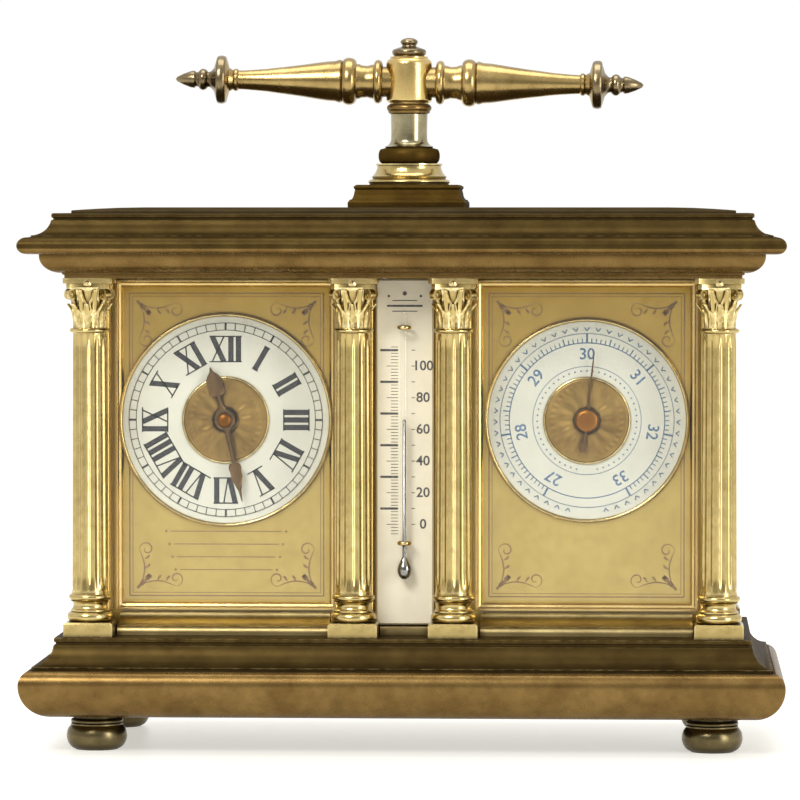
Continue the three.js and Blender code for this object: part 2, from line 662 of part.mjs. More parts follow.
function buildBack() {
  const innerFace = DOOR_FACE - DOOR_THICKNESS;
  const axisY = DOOR_FACE - DOOR_THICKNESS / 2;
  const radius = DOOR_THICKNESS / 2;
  const frame = box([DOOR_HINGE_X, DOOR_INNER_X], [innerFace, DOOR_FACE], [DOOR_BOTTOM, DOOR_TOP]);
  const window = box(
    [DOOR_HINGE_X + DOOR_BAR - radius, DOOR_INNER_X - DOOR_BAR],
    [innerFace - 1, DOOR_FACE + 1],
    [DOOR_BOTTOM + DOOR_BAR, DOOR_TOP - DOOR_BAR],
  );
  const stile = barZ(radius, DOOR_BOTTOM, DOOR_TOP, DOOR_HINGE_X, axisY);
  const pinHole = (z0, z1) => barZ(DOOR_PIN_RADIUS + GAP, z0, z1, DOOR_HINGE_X, axisY, 12);
  const pin = (z0, z1) => barZ(DOOR_PIN_RADIUS, z0, z1, DOOR_HINGE_X, axisY, 10);
  const holeDepth = DOOR_PIN_REACH + 1;
  const pinHoles = [
    pinHole(DOOR_BOTTOM - 1, DOOR_BOTTOM + holeDepth),
    pinHole(DOOR_TOP - holeDepth, DOOR_TOP + 1),
  ];
  add('rear_door_frame', cut(join(frame, stile), window, ...pinHoles), gilt);
  add('rear_door_pivot_lower', pin(BASE_TOP + GAP, DOOR_BOTTOM + DOOR_PIN_REACH), steel);
  add('rear_door_pivot_upper', pin(DOOR_TOP - DOOR_PIN_REACH, COLUMN_TOP), steel);

  const windowWidth = DOOR_INNER_X - DOOR_HINGE_X - 2 * DOOR_BAR + radius;
  const windowHeight = DOOR_TOP - DOOR_BOTTOM - 2 * DOOR_BAR;
  const doorGlass = add('rear_door_glass', pane(windowWidth - 2 * GAP, windowHeight - 2 * GAP), glass);
  doorGlass.rotation.z = Math.PI;
  doorGlass.position.set(
    (DOOR_HINGE_X + DOOR_BAR - radius + DOOR_INNER_X - DOOR_BAR) / 2,
    axisY + GLASS_THICKNESS / 2,
    (DOOR_BOTTOM + DOOR_TOP) / 2,
  );
  const knob = turned([
    [0, DOOR_FACE + GAP], [1.4, DOOR_FACE + GAP], [1.1, 22.4], [2.2, 23.4], [2.6, 24.6], [1.8, 25.9],
    [0, 26.3],
  ], 14);
  add('rear_door_knob', knob, gilt).position.set(DOOR_INNER_X - DOOR_BAR / 2, 0, DOOR_KNOB_Z);

  const plate = box(BACK_PLATE_ENDS, [DOOR_FACE - 2, DOOR_FACE - 0.5], [DOOR_BOTTOM, DOOR_TOP]);
  const screwHole = barY(ADJUSTER_HOLE_RADIUS, DOOR_FACE - 3, DOOR_FACE + 1, DIAL_X, DIAL_Z);
  add('barometer_back_plate', cut(plate, screwHole), satinGilt);
}

// ---------- handle ----------

function buildHandle() {
  const plinthBottom = CORNICE_TOP + ROOF_RISE + 2 * GAP;
  const steps = [
    [13.3, plinthBottom], [13.3, 123], [12.7, 123.6], [11.9, 125.4], [11.5, HANDLE_PLINTH_TOP],
  ];
  add('handle_plinth', loft(steps.map(([size, z]) => level(size, size, z))), darkBrass);

  const collarBottom = HANDLE_PLINTH_TOP + GAP;
  add('handle_collar', turnedUp([
    [0, collarBottom], [9.1, collarBottom], [9.3, 127.6], [8.3, 128.6], [7.3, 130.2],
    [7.3, COLLAR_TOP], [0, COLLAR_TOP],
  ], 24), gilt);

  const postBottom = COLLAR_TOP + GAP;
  add('handle_post', turnedUp([
    [0, postBottom], [6.4, postBottom], [7, 132.5], [7, 134.2], [5.2, 135.4], [4.2, 136.4], [4.2, 143],
    [5.1, 143.8], [5.1, POST_TOP], [0, POST_TOP],
  ], 20), darkBrass);

  const hubBottom = POST_TOP + GAP;
  add('handle_hub', turnedUp([
    [0, hubBottom], [4.4, hubBottom], [5.2, 146.2], [5.2, 154.6], [4.5, HUB_TOP], [0, HUB_TOP],
  ], 24), gilt);

  const capBottom = HUB_TOP + GAP;
  add('handle_cap', turnedUp([
    [0, capBottom], [3.6, capBottom], [3.9, 157.2], [2.6, 158.2], [2.2, 158.8], [1.6, 159.8], [0, 160.1],
  ]), gilt);

  const arm = [
    [0, 5.5], [3.5, 5.5], [5, 6.4], [5, 7.8], [3.9, 8.8], [3.8, 10.8], [4.7, 12.4], [5.4, 13.4],
    [5.4, 14.8], [4.9, 16.4], [4.5, 19], [3.7, 24], [3, 29], [2.4, 34], [2.2, 38], [2.7, 41.2],
    [5.5, 42], [5.5, 44], [2.7, 44.8], [1.9, 46.2], [2.4, 48.2], [2.3, 49.4], [0, 53.4],
  ];
  for (const [side, turn] of [['left', Math.PI / 2], ['right', -Math.PI / 2]]) {
    const piece = add(`handle_arm_${side}`, turned(arm, 14).rotateZ(turn), gilt);
    piece.rotation.y = THREE.MathUtils.degToRad(HANDLE_LEAN);
    piece.position.z = HANDLE_AXIS_Z;
  }
}

buildFeet();
buildBase();
buildCornice();
buildColumns();
buildThermometer();
buildGlasses();
buildDials();
buildHands();
buildMovementFrame();
buildTrain();
buildEscapement();
buildAneroid();
buildBack();
buildHandle();

export default object;
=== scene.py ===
"""Looks of the desk compendium: clock, thermometer and aneroid barometer in a gilt-brass case.

Lengths in the helpers are millimetres, turned into metres where a mesh is made.
Places come from the CAD nodes' boxes.
"""

import math

import bpy
from mathutils import Matrix, Vector


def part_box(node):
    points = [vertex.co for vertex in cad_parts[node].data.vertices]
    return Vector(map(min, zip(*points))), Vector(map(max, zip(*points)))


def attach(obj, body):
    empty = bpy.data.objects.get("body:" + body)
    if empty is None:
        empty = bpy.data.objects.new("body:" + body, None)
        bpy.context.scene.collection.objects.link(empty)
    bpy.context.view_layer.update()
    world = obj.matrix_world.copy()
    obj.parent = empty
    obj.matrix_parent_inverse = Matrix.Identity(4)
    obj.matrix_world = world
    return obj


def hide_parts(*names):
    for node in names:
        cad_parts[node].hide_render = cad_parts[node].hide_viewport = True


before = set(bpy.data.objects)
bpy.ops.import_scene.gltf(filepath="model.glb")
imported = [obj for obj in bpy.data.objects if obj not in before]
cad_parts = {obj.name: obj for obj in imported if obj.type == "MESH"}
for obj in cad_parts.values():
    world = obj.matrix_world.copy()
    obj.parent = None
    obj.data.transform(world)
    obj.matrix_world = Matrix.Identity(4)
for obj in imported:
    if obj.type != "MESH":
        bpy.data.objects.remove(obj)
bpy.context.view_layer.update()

MM = 0.001
HANDLE_AXIS_Z = 150.0
SEAT = 0.3  # millimetres that the CAD leaves between pieces that touch; the fine pieces close it


def span(node):
    """The lowest and highest corner of a CAD node, in millimetres."""
    low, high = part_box(node)
    return [value / MM for value in low], [value / MM for value in high]


def centre(node):
    low, high = span(node)
    return [(a + b) / 2 for a, b in zip(low, high)]


# ---------- materials ----------


class Recipe:
    """A material under construction, with short names for the nodes that it uses."""

    def __init__(self, name, **shader):
        self.material = bpy.data.materials.new(name)
        self.material.use_nodes = True
        self.tree = self.material.node_tree
        self.bsdf = self.tree.nodes["Principled BSDF"]
        for socket, value in shader.items():
            self.bsdf.inputs[socket.replace("_", " ")].default_value = value
        self.position = self.node("ShaderNodeTexCoord").outputs["Object"]

    def node(self, kind, **settings):
        made = self.tree.nodes.new(kind)
        for key, value in settings.items():
            setattr(made, key, value)
        return made

    def link(self, source, target):
        self.tree.links.new(source, target)

    def stretched(self, scale):
        """Object coordinates, scaled differently along each axis."""
        mapping = self.node("ShaderNodeMapping")
        mapping.inputs["Scale"].default_value = scale
        self.link(self.position, mapping.inputs["Vector"])
        return mapping.outputs["Vector"]

    def noise(self, size, detail=4.0, roughness=0.6, vector=None, distortion=0.0):
        """Noise whose features are about size millimetres."""
        made = self.node("ShaderNodeTexNoise")
        made.inputs["Scale"].default_value = 1 / (size * MM)
        made.inputs["Detail"].default_value = detail
        made.inputs["Roughness"].default_value = roughness
        made.inputs["Distortion"].default_value = distortion
        self.link(vector or self.position, made.inputs["Vector"])
        return made.outputs["Fac"]

    def ramp(self, factor, *stops):
        """A colour ramp through (place, colour) stops. A number stands for a grey."""
        made = self.node("ShaderNodeValToRGB")
        elements = made.color_ramp.elements
        while len(elements) < len(stops):
            elements.new(0.5)
        for element, (place, colour) in zip(elements, stops):
            element.position = place
            element.color = (*colour, 1) if isinstance(colour, tuple) else (colour, colour, colour, 1)
        self.link(factor, made.inputs["Fac"])
        return made.outputs["Color"]

    def mix(self, factor, first, second, blend="MIX"):
        made = self.node("ShaderNodeMix", data_type="RGBA", blend_type=blend)
        for socket, value in ((0, factor), (6, first), (7, second)):
            if isinstance(value, bpy.types.NodeSocket):
                self.link(value, made.inputs[socket])
            elif isinstance(value, tuple):
                made.inputs[socket].default_value = (*value, 1)
            else:
                made.inputs[socket].default_value = value
        return made.outputs[2]

    def maths(self, operation, first, second=0.0):
        made = self.node("ShaderNodeMath", operation=operation)
        for socket, value in zip(made.inputs, (first, second)):
            if isinstance(value, bpy.types.NodeSocket):
                self.link(value, socket)
            else:
                socket.default_value = value
        return made.outputs[0]

    def height(self, low, high):
        """0 below one height and 1 above another, in millimetres."""
        parts = self.node("ShaderNodeSeparateXYZ")
        self.link(self.position, parts.inputs[0])
        made = self.node("ShaderNodeMapRange")
        made.inputs["From Min"].default_value = low * MM
        made.inputs["From Max"].default_value = high * MM
        self.link(parts.outputs["Z"], made.inputs["Value"])
        return made.outputs["Result"]

    def crevices(self, reach, inside=False):
        """1 in the open and towards 0 in corners within reach millimetres. With inside, near outer edges."""
        made = self.node("ShaderNodeAmbientOcclusion", samples=4, inside=inside, only_local=inside)
        made.inputs["Distance"].default_value = reach * MM
        return made.outputs["AO"]

    def colour(self, socket):
        self.link(socket, self.bsdf.inputs["Base Color"])

    def roughness(self, socket):
        self.link(socket, self.bsdf.inputs["Roughness"])

    def bump(self, height, depth, strength=1.0):
        """Bump of depth millimetres."""
        made = self.node("ShaderNodeBump")
        made.inputs["Strength"].default_value = strength
        made.inputs["Distance"].default_value = depth * MM
        self.link(height, made.inputs["Height"])
        self.link(made.outputs["Normal"], self.bsdf.inputs["Normal"])


def brass(
    name, bright, deep, patina_and_shade_tone, rough=0.25, corner_shade_and_patina=0.6, grain=None, wear=0.10, edge=None, metal=1.0,
    painted_top_shade=None
):
    """Gilt brass: two tones of gold, painted shade in the corners (from ambient occlusion) and brown oxide in
    patches, fine scratches, worn edges.

    metal below 1 is oxidised, with less mirror at a glance.
    The last argument is a painted shade: a tint that makes the colour darker and browner upwards, as under
    the cornice.
    """
    made = Recipe(name, Metallic=metal, Specular_IOR_Level=0.0, Specular_Tint=(metal, metal, metal, 1))
    clouds = made.noise(9, detail=5)
    tone = made.mix(made.ramp(clouds, (0.35, 0.0), (0.65, 1.0)), deep, bright)
    # painted shade: the colour turns dark brown in corners and crevices within 2.2 mm, where ambient
    # occlusion finds shade
    corners = made.ramp(made.crevices(2.2), (0.35, 1.0), (0.85, 0.0))
    patches = made.ramp(made.noise(3.5, detail=8, roughness=0.7), (0.46, 0.0), (0.72, 1.0))
    # mask of that painted corner shade together with real brown oxide patches, both mixed towards one dark
    # brown tone
    shade_and_patina_mask = made.maths(
        "MULTIPLY", made.maths("MAXIMUM", corners, made.maths("MULTIPLY", patches, 0.45)), corner_shade_and_patina
    )
    aged_and_shaded = made.mix(shade_and_patina_mask, tone, patina_and_shade_tone)
    if edge:
        rubbed = made.ramp(made.crevices(0.5, inside=True), (0.45, 1.0), (0.85, 0.0))
        broken = made.ramp(made.noise(1.8, detail=6), (0.42, 0.0), (0.62, 1.0))
        aged_and_shaded = made.mix(made.maths("MULTIPLY", rubbed, broken), aged_and_shaded, edge)
    # painted shade: the colour darkens and browns from 58 mm up to 104 mm, standing in for the shade under
    # the cornice
    if painted_top_shade:
        aged_and_shaded = made.mix(made.height(58, 104), aged_and_shaded, painted_top_shade, "MULTIPLY")
    made.colour(aged_and_shaded)
    scratches = made.noise(0.35, detail=2, vector=made.stretched(grain or (1, 1, 1)))
    uneven = made.maths("ADD", made.maths("MULTIPLY", clouds, wear), made.maths("MULTIPLY", scratches, wear))
    made.roughness(
        made.maths("ADD", made.maths("ADD", uneven, rough - wear), made.maths("MULTIPLY", shade_and_patina_mask, 0.2))
    )
    made.bump(scratches, 0.006)
    return made.material


def steel(name, light, dark, rough):
    """Polished or blued steel, with a fine straight grain."""
    made = Recipe(name, Metallic=1.0)
    grain = made.noise(0.3, detail=3, vector=made.stretched((1, 0.15, 1)))
    made.colour(made.mix(made.noise(2.5), dark, light))
    made.roughness(made.maths("ADD", made.maths("MULTIPLY", grain, 0.15), rough))
    made.bump(grain, 0.006)
    return made.material


def fired_glaze(name, light, shade, rough=0.12):
    """White enamel or porcelain: warm clouds, painted shade in brown near edges and corners, and an uneven
    gloss.
    """
    made = Recipe(name, IOR=1.5)
    made.bsdf.inputs["Coat Weight"].default_value = 0.5
    made.bsdf.inputs["Coat Roughness"].default_value = 0.08
    clouds = made.noise(7, detail=5)
    tone = made.mix(made.ramp(clouds, (0.35, 0.0), (0.7, 1.0)), light, shade)
    # painted shade: half way to brown within 1.6 mm of other surfaces, where ambient occlusion finds shade
    edge = made.ramp(made.crevices(1.6), (0.3, 1.0), (0.8, 0.0))
    made.colour(made.mix(made.maths("MULTIPLY", edge, 0.5), tone, (0.42, 0.36, 0.24)))
    made.roughness(made.maths("ADD", made.maths("MULTIPLY", made.noise(1.2), 0.1), rough))
    made.bump(made.noise(1.6, detail=3), 0.01)
    return made.material


def ink(name, dark, light, rough=0.35):
    """Fired ink, a little thinner in places."""
    made = Recipe(name)
    made.colour(made.mix(made.ramp(made.noise(0.5, detail=6), (0.45, 0.0), (0.75, 1.0)), dark, light))
    made.roughness(made.maths("ADD", made.maths("MULTIPLY", made.noise(0.4), 0.2), rough))
    return made.material


def clear_glass(name):
    """Polished glass: a faint mirror from the front and a full one at a glance, with smears in its gloss."""
    made = Recipe(name, Metallic=1.0, IOR=1.5)
    smears = made.noise(6, detail=6, vector=made.stretched((1, 1, 0.4)))
    made.colour(made.mix(smears, (0.93, 0.97, 0.96), (0.86, 0.92, 0.91)))
    made.roughness(made.ramp(smears, (0.4, 0.015), (0.75, 0.07)))
    glance = made.maths("POWER", made.node("ShaderNodeLayerWeight").outputs["Facing"], 5)
    faint = made.maths("ADD", made.maths("MULTIPLY", smears, 0.01), 0.02)
    made.link(made.maths("ADD", made.maths("MULTIPLY", glance, 0.9), faint), made.bsdf.inputs["Alpha"])
    return made.material


def bronzing(name, tone, shade, dust):
    """Dull bronzed paint on the flat top: worn patches, dust and a broken gloss."""
    made = Recipe(name, Specular_IOR_Level=0.0)
    clouds = made.ramp(made.noise(11, detail=6), (0.35, 0.0), (0.7, 1.0))
    settled = made.ramp(made.noise(1.4, detail=8, roughness=0.7), (0.55, 0.0), (0.8, 0.6))
    made.colour(made.mix(settled, made.mix(clouds, tone, shade), dust))
    made.roughness(made.maths("ADD", made.maths("MULTIPLY", clouds, 0.15), 0.6))
    made.bump(made.noise(0.5, detail=4), 0.02)
    return made.material


def stage_paint(name, tone, shade, glow):
    """The satin surface of a lit table."""
    made = Recipe(name, Emission_Strength=glow)
    made.colour(made.mix(made.noise(60, detail=3), tone, shade))
    made.roughness(made.maths("ADD", made.maths("MULTIPLY", made.noise(4), 0.1), 0.32))
    made.bsdf.inputs["Emission Color"].default_value = (1.0, 0.975, 0.90, 1)
    return made.material


UPRIGHT = (1, 1, 0.06)

GILT = brass(
    "gilt", (0.58, 0.45, 0.19), (0.46, 0.345, 0.13), (0.12, 0.08, 0.025), rough=0.20, corner_shade_and_patina=0.8,
    edge=(0.82, 0.68, 0.36),
)
# painted light: a lighter copy of the gilt with little painted corner shade; on the posts it lifts the shade
# in the gaps beside the columns
SLIP = brass(
    "slip_gilt", (0.66, 0.49, 0.20), (0.56, 0.40, 0.145), (0.30, 0.20, 0.07), rough=0.24, corner_shade_and_patina=0.3,
)
# painted shade: a darker copy of the gilt for the handle arms, standing in for their shaded undersides
SHADED_HANDLE_GILT = brass(
    "shaded_handle_gilt", (0.45, 0.32, 0.125), (0.31, 0.215, 0.08), (0.10, 0.065, 0.025), rough=0.24, corner_shade_and_patina=0.9,
)
TIP = brass("worn_gilt", (0.26, 0.20, 0.11), (0.17, 0.13, 0.07), (0.07, 0.05, 0.025), rough=0.25, corner_shade_and_patina=0.7)
AGED = brass(
    "aged_brass", (0.212, 0.131, 0.043), (0.143, 0.084, 0.026), (0.042, 0.025, 0.009), rough=0.25, corner_shade_and_patina=0.8,
    edge=(0.32, 0.21, 0.08), metal=0.75,
)
SILL = brass(
    "sill_brass", (0.44, 0.34, 0.15), (0.32, 0.24, 0.105), (0.075, 0.048, 0.018), rough=0.30, corner_shade_and_patina=1.0,
    edge=(0.7, 0.54, 0.25),
)
# painted shade: a far darker copy of the brass, for the cavettos of the base and cornice, which lie in shade
UMBER_SHADE = brass(
    "umber_shade_brass", (0.064, 0.041, 0.012), (0.039, 0.024, 0.007), (0.020, 0.013, 0.005), rough=0.34, corner_shade_and_patina=0.8,
    edge=(0.22, 0.15, 0.06), metal=0.5,
)
DARK = brass(
    "dark_brass", (0.072, 0.041, 0.0075), (0.042, 0.023, 0.0045), (0.016, 0.010, 0.004), rough=0.42,
    corner_shade_and_patina=0.8,
    edge=(0.12, 0.072, 0.02), metal=0.45,
)
FEET = brass(
    "foot_brass", (0.17, 0.135, 0.065), (0.11, 0.085, 0.04), (0.035, 0.026, 0.013), rough=0.28, corner_shade_and_patina=0.8,
    edge=(0.3, 0.24, 0.12),
)
# the masks and panels get the painted shade, darker and browner towards the top
SATIN = brass(
    "satin_gilt", (0.61, 0.46, 0.147), (0.54, 0.395, 0.12), (0.20, 0.115, 0.03),
    rough=0.31, corner_shade_and_patina=0.5, grain=UPRIGHT, wear=0.07, painted_top_shade=(0.79, 0.68, 0.43),
)
ENGRAVED = brass(
    "engraved_gilt", (0.385, 0.25, 0.077), (0.235, 0.143, 0.041), (0.08, 0.045, 0.015), rough=0.34, corner_shade_and_patina=0.9,
)
AMBER = brass(
    "amber_gilt", (0.36, 0.145, 0.022), (0.23, 0.088, 0.013), (0.07, 0.03, 0.008), rough=0.34, corner_shade_and_patina=0.6
)
MOVEMENT = brass(
    "movement_brass", (0.72, 0.54, 0.23), (0.60, 0.43, 0.16), (0.22, 0.14, 0.05),
    rough=0.25, corner_shade_and_patina=0.3, grain=(0.06, 1, 1),
)
ROOF = bronzing("roof_bronzing", (0.050, 0.035, 0.016), (0.033, 0.023, 0.010), (0.085, 0.062, 0.034))
POST = brass("post_brass", (0.42, 0.37, 0.225), (0.27, 0.23, 0.125), (0.08, 0.06, 0.03), rough=0.2, corner_shade_and_patina=0.9)
STEEL = steel("steel", (0.46, 0.46, 0.47), (0.28, 0.28, 0.30), 0.18)
BROWNED = steel("browned_steel", (0.22, 0.13, 0.055), (0.09, 0.052, 0.022), 0.24)
NICKEL = steel("nickel", (0.66, 0.64, 0.58), (0.5, 0.48, 0.43), 0.22)
ENAMEL = fired_glaze("enamel", (0.595, 0.59, 0.485), (0.55, 0.545, 0.445))
COOL_ENAMEL = fired_glaze("cool_enamel", (0.55, 0.55, 0.455), (0.51, 0.51, 0.42))
PORCELAIN = fired_glaze("porcelain", (0.755, 0.695, 0.53), (0.70, 0.64, 0.485))
BLACK_INK = ink("black_ink", (0.012, 0.012, 0.014), (0.06, 0.06, 0.065))
BLUE_INK = ink("blue_ink", (0.06, 0.12, 0.20), (0.20, 0.28, 0.38))
WAX = ink("engraving_wax", (0.22, 0.12, 0.04), (0.38, 0.24, 0.09), rough=0.45)
GREY_INK = ink("grey_ink", (0.05, 0.05, 0.05), (0.16, 0.15, 0.14))
GLASS = clear_glass("clear_glass")
JEWEL = fired_glaze("ruby", (0.45, 0.015, 0.05), (0.30, 0.008, 0.03), rough=0.05)
BLUED = steel("heat_blued_steel", (0.030, 0.042, 0.115), (0.014, 0.019, 0.055), 0.2)
MERCURY = steel("mercury", (0.30, 0.30, 0.30), (0.17, 0.17, 0.175), 0.1)


# ---------- mesh tools ----------


def arc(cx, cy, rx, ry, start, end, steps=10):
    """Points along an ellipse's arc, angles in degrees."""
    angles = [math.radians(start + (end - start) * i / steps) for i in range(steps + 1)]
    return [(cx + rx * math.cos(a), cy + ry * math.sin(a)) for a in angles]


def make_piece(name, vertices, faces, material, body, slot, smooth=40, bevel=0.0):
    """A mesh piece, from millimetres, that rides on a body. smooth is the angle of its sharp edges."""
    mesh = bpy.data.meshes.new(name)
    mesh.from_pydata([tuple(value * MM for value in v) for v in vertices], [], faces)
    mesh.validate()
    for polygon in mesh.polygons:
        polygon.use_smooth = True
    mesh.set_sharp_from_angle(angle=math.radians(smooth))
    mesh.materials.append(material)
    piece = bpy.data.objects.new(name, mesh)
    bpy.context.scene.collection.objects.link(piece)
    if bevel:
        soften(piece, bevel)
    if body:
        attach(piece, body)
    return piece


def soften(piece, width, angle=35, segments=2):
    """Rounds the sharp edges of a piece with a bevel of width millimetres."""
    modifier = piece.modifiers.new("Bevel", "BEVEL")
    modifier.width = width * MM
    modifier.segments = segments
    modifier.limit_method = "ANGLE"
    modifier.angle_limit = math.radians(angle)
    modifier.harden_normals = True


def banded(piece, *bands):
    """Gives the faces whose middles lie between two heights, in millimetres, another material."""
    for low, high, material in bands:
        piece.data.materials.append(material)
        slot = len(piece.data.materials) - 1
        for polygon in piece.data.polygons:
            if low * MM <= polygon.center.z < high * MM:
                polygon.material_index = slot


def turned(profile, segments=64):
    """Vertices and faces of a turned form round Z. The profile of (radius, z) starts and ends on the axis."""
    vertices, faces, rings = [], [], []
    for radius, z in profile:
        if radius < 1e-6:
            rings.append([len(vertices)])
            vertices.append((0, 0, z))
            continue
        rings.append(list(range(len(vertices), len(vertices) + segments)))
        for i in range(segments):
            angle = 2 * math.pi * i / segments
            vertices.append((radius * math.cos(angle), radius * math.sin(angle), z))
    for lower, upper in zip(rings, rings[1:]):
        for i in range(segments):
            j = (i + 1) % segments
            if len(lower) == 1 and len(upper) > 1:
                faces.append((lower[0], upper[j], upper[i]))
            elif len(upper) == 1 and len(lower) > 1:
                faces.append((lower[i], lower[j], upper[0]))
            elif len(lower) > 1:
                faces.append((lower[i], lower[j], upper[j], upper[i]))
    return vertices, faces


def turned_ring(profile, segments=96):
    """Vertices and faces of a ring round Z, whose profile of (radius, z) closes on itself."""
    count = len(profile)
    vertices, faces = [], []
    for i in range(segments):
        angle = 2 * math.pi * i / segments
        vertices += [(r * math.cos(angle), r * math.sin(angle), z) for r, z in profile]
    for i in range(segments):
        a, b = i * count, ((i + 1) % segments) * count
        faces += [(a + k, b + k, b + (k + 1) % count, a + (k + 1) % count) for k in range(count)]
    return vertices, faces


def lofted(rings):
    """Vertices and faces of a closed skin over rings with the same number of corners."""
    count = len(rings[0])
    vertices = [point for ring in rings for point in ring]
    faces = [tuple(reversed(range(count)))]
    for level in range(len(rings) - 1):
        for k in range(count):
            a, b = level * count + k, level * count + (k + 1) % count
            faces.append((a, b, b + count, a + count))
    faces.append(tuple(range(len(vertices) - count, len(vertices))))
    return vertices, faces


def framed(rings):
    """Vertices and faces of a frame: four-cornered rings, one for each point of its closed section."""
    faces = []
    for level in range(len(rings)):
        after = (level + 1) % len(rings)
        for k in range(4):
            j = (k + 1) % 4
            faces.append((level * 4 + k, after * 4 + k, after * 4 + j, level * 4 + j))
    return [point for ring in rings for point in ring], faces


def rectangle(x, y, z):
    return [(-x, -y, z), (x, -y, z), (x, y, z), (-x, y, z)]


def block(x, y, z):
    """Vertices and faces of a box between pairs of limits."""
    return lofted([[(x[0], y[0], h), (x[1], y[0], h), (x[1], y[1], h), (x[0], y[1], h)] for h in z])


def moved(form, matrix):
    vertices, faces = form
    return [tuple(matrix @ Vector(v)) for v in vertices], faces


def shift(x=0.0, y=0.0, z=0.0):
    return Matrix.Translation((x, y, z))


def turn(degrees, axis):
    return Matrix.Rotation(math.radians(degrees), 4, axis)


def together(*forms):
    """Several closed forms in one mesh."""
    vertices, faces = [], []
    for form_vertices, form_faces in forms:
        offset = len(vertices)
        vertices += form_vertices
        faces += [tuple(index + offset for index in face) for face in form_faces]
    return vertices, faces


FACING_FRONT = turn(90, "X")  # a form drawn round +Z comes to face -Y


# ---------- stage, light and camera ----------


def build_stage():
    """A pale round table top."""
    floor_material = stage_paint("pale_floor", (0.47, 0.47, 0.455), (0.45, 0.45, 0.435), 0.56)
    radius, corners = 6000, 64
    angles = [2 * math.pi * i / corners for i in range(corners)]
    vertices = [(radius * math.cos(a), radius * math.sin(a), 0) for a in angles]
    floor = make_piece("floor", vertices, [tuple(range(corners))], floor_material, None, None)


def area_light(name, place, size, power, colour=(1, 1, 1), aim=(0, 0, 0.08)):
    data = bpy.data.lights.new(name, "AREA")
    data.shape = "RECTANGLE"
    data.size, data.size_y = size
    data.energy = power
    data.color = colour
    lamp = bpy.data.objects.new(name, data)
    lamp.location = place
    lamp.rotation_euler = (Vector(aim) - Vector(place)).to_track_quat("-Z", "Y").to_euler()
    bpy.context.scene.collection.objects.link(lamp)


def build_light():
    """A white studio that is darker straight ahead of the dials, where the camera stands."""
    world = bpy.data.worlds.new("studio")
    world.use_nodes = True
    bpy.context.scene.world = world
    tree = world.node_tree
    background = tree.nodes["Background"]
    split = tree.nodes.new("ShaderNodeSeparateXYZ")
    tree.links.new(tree.nodes.new("ShaderNodeTexCoord").outputs["Generated"], split.inputs[0])

    def smooth(output, near, far, at_near, at_far):
        step = tree.nodes.new("ShaderNodeMapRange")
        step.interpolation_type = "SMOOTHSTEP"
        for socket, value in zip(step.inputs[1:5], (near, far, at_near, at_far)):
            socket.default_value = value
        tree.links.new(split.outputs[output], step.inputs["Value"])
        return step.outputs["Result"]

    shade = tree.nodes.new("ShaderNodeMath")
    shade.operation = "MULTIPLY"
    tree.links.new(smooth("Y", -0.95, -0.25, 0.66, 0.0), shade.inputs[0])
    tree.links.new(smooth("Z", 0.25, 0.75, 1.0, 0.25), shade.inputs[1])
    strength = tree.nodes.new("ShaderNodeMath")
    strength.operation = "SUBTRACT"
    strength.inputs[0].default_value = 1.02
    tree.links.new(shade.outputs[0], strength.inputs[1])
    tree.links.new(strength.outputs[0], background.inputs["Strength"])
    background.inputs["Color"].default_value = (1.0, 0.995, 0.985, 1)
    area_light("key", (-0.45, -0.95, 0.85), (0.45, 0.45), 12.5)
    area_light("fill", (0.85, -0.75, 0.30), (0.30, 0.6), 5)
    area_light("top", (0.0, 0.05, 1.1), (0.9, 0.6), 6)


CAMERA_AZIMUTH = 2.8
CAMERA_ELEVATION = 2.1
CAMERA_DISTANCE = 1.2
CAMERA_AIM = Vector((-0.0021, 0.0, 0.0775))
VIEW_WIDTH = 0.1828  # of the plane through the aim


def build_camera():
    data = bpy.data.cameras.new("camera")
    data.sensor_width = 36
    data.lens = data.sensor_width * CAMERA_DISTANCE / VIEW_WIDTH
    data.clip_end = 20
    camera = bpy.data.objects.new("camera", data)
    azimuth, elevation = math.radians(CAMERA_AZIMUTH), math.radians(CAMERA_ELEVATION)
    away = Vector((
        math.sin(azimuth) * math.cos(elevation),
        -math.cos(azimuth) * math.cos(elevation),
        math.sin(elevation),
    ))
    camera.location = CAMERA_AIM + away * CAMERA_DISTANCE
    camera.rotation_euler = (-away).to_track_quat("-Z", "Y").to_euler()
    bpy.context.scene.collection.objects.link(camera)
    bpy.context.scene.camera = camera
    bpy.context.scene.view_settings.view_transform = "Standard"


# ---------- case ----------


def build_feet():
    low, high = span("foot_front_left")
    radius, height = (high[0] - low[0]) / 2, high[2] - low[2] + SEAT
    profile = (
        [(0, 0), (radius - 2.0, 0)]
        + arc(radius - 2.6, 3.1, 2.6, 3.1, 284, 395, 14)
        + [(radius - 1.0, height - 2.4), (radius - 1.0, height - 2.1)]
        + arc(radius - 1.5, height - 1.5, 0.55, 0.5, 280, 440, 8)
        + [(radius - 2.3, height - 0.9), (radius - 2.3, height), (0, height)]
    )
    for end in ("front", "rear"):
        for side in ("left", "right"):
            node = f"foot_{end}_{side}"
            x, y, _ = centre(node)
            foot = moved(turned(profile), shift(x, y, 0))
            piece = make_piece(f"{node}_turned", *foot, FEET, "case", "dark_brass")
            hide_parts(node)


def moulding(name, node, profile, material, slot, extra=()):
    """A moulding lofted round the rectangle of a CAD node, from a profile of (inset, z)."""
    low, high = span(node)
    half_x, half_y = (high[0] - low[0]) / 2, (high[1] - low[1]) / 2
    skin = lofted([rectangle(half_x - inset, half_y - inset, z) for inset, z in profile])
    piece = make_piece(name, *together(skin, *extra), material, "case", slot, smooth=30, bevel=0.12)
    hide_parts(node)
    return piece


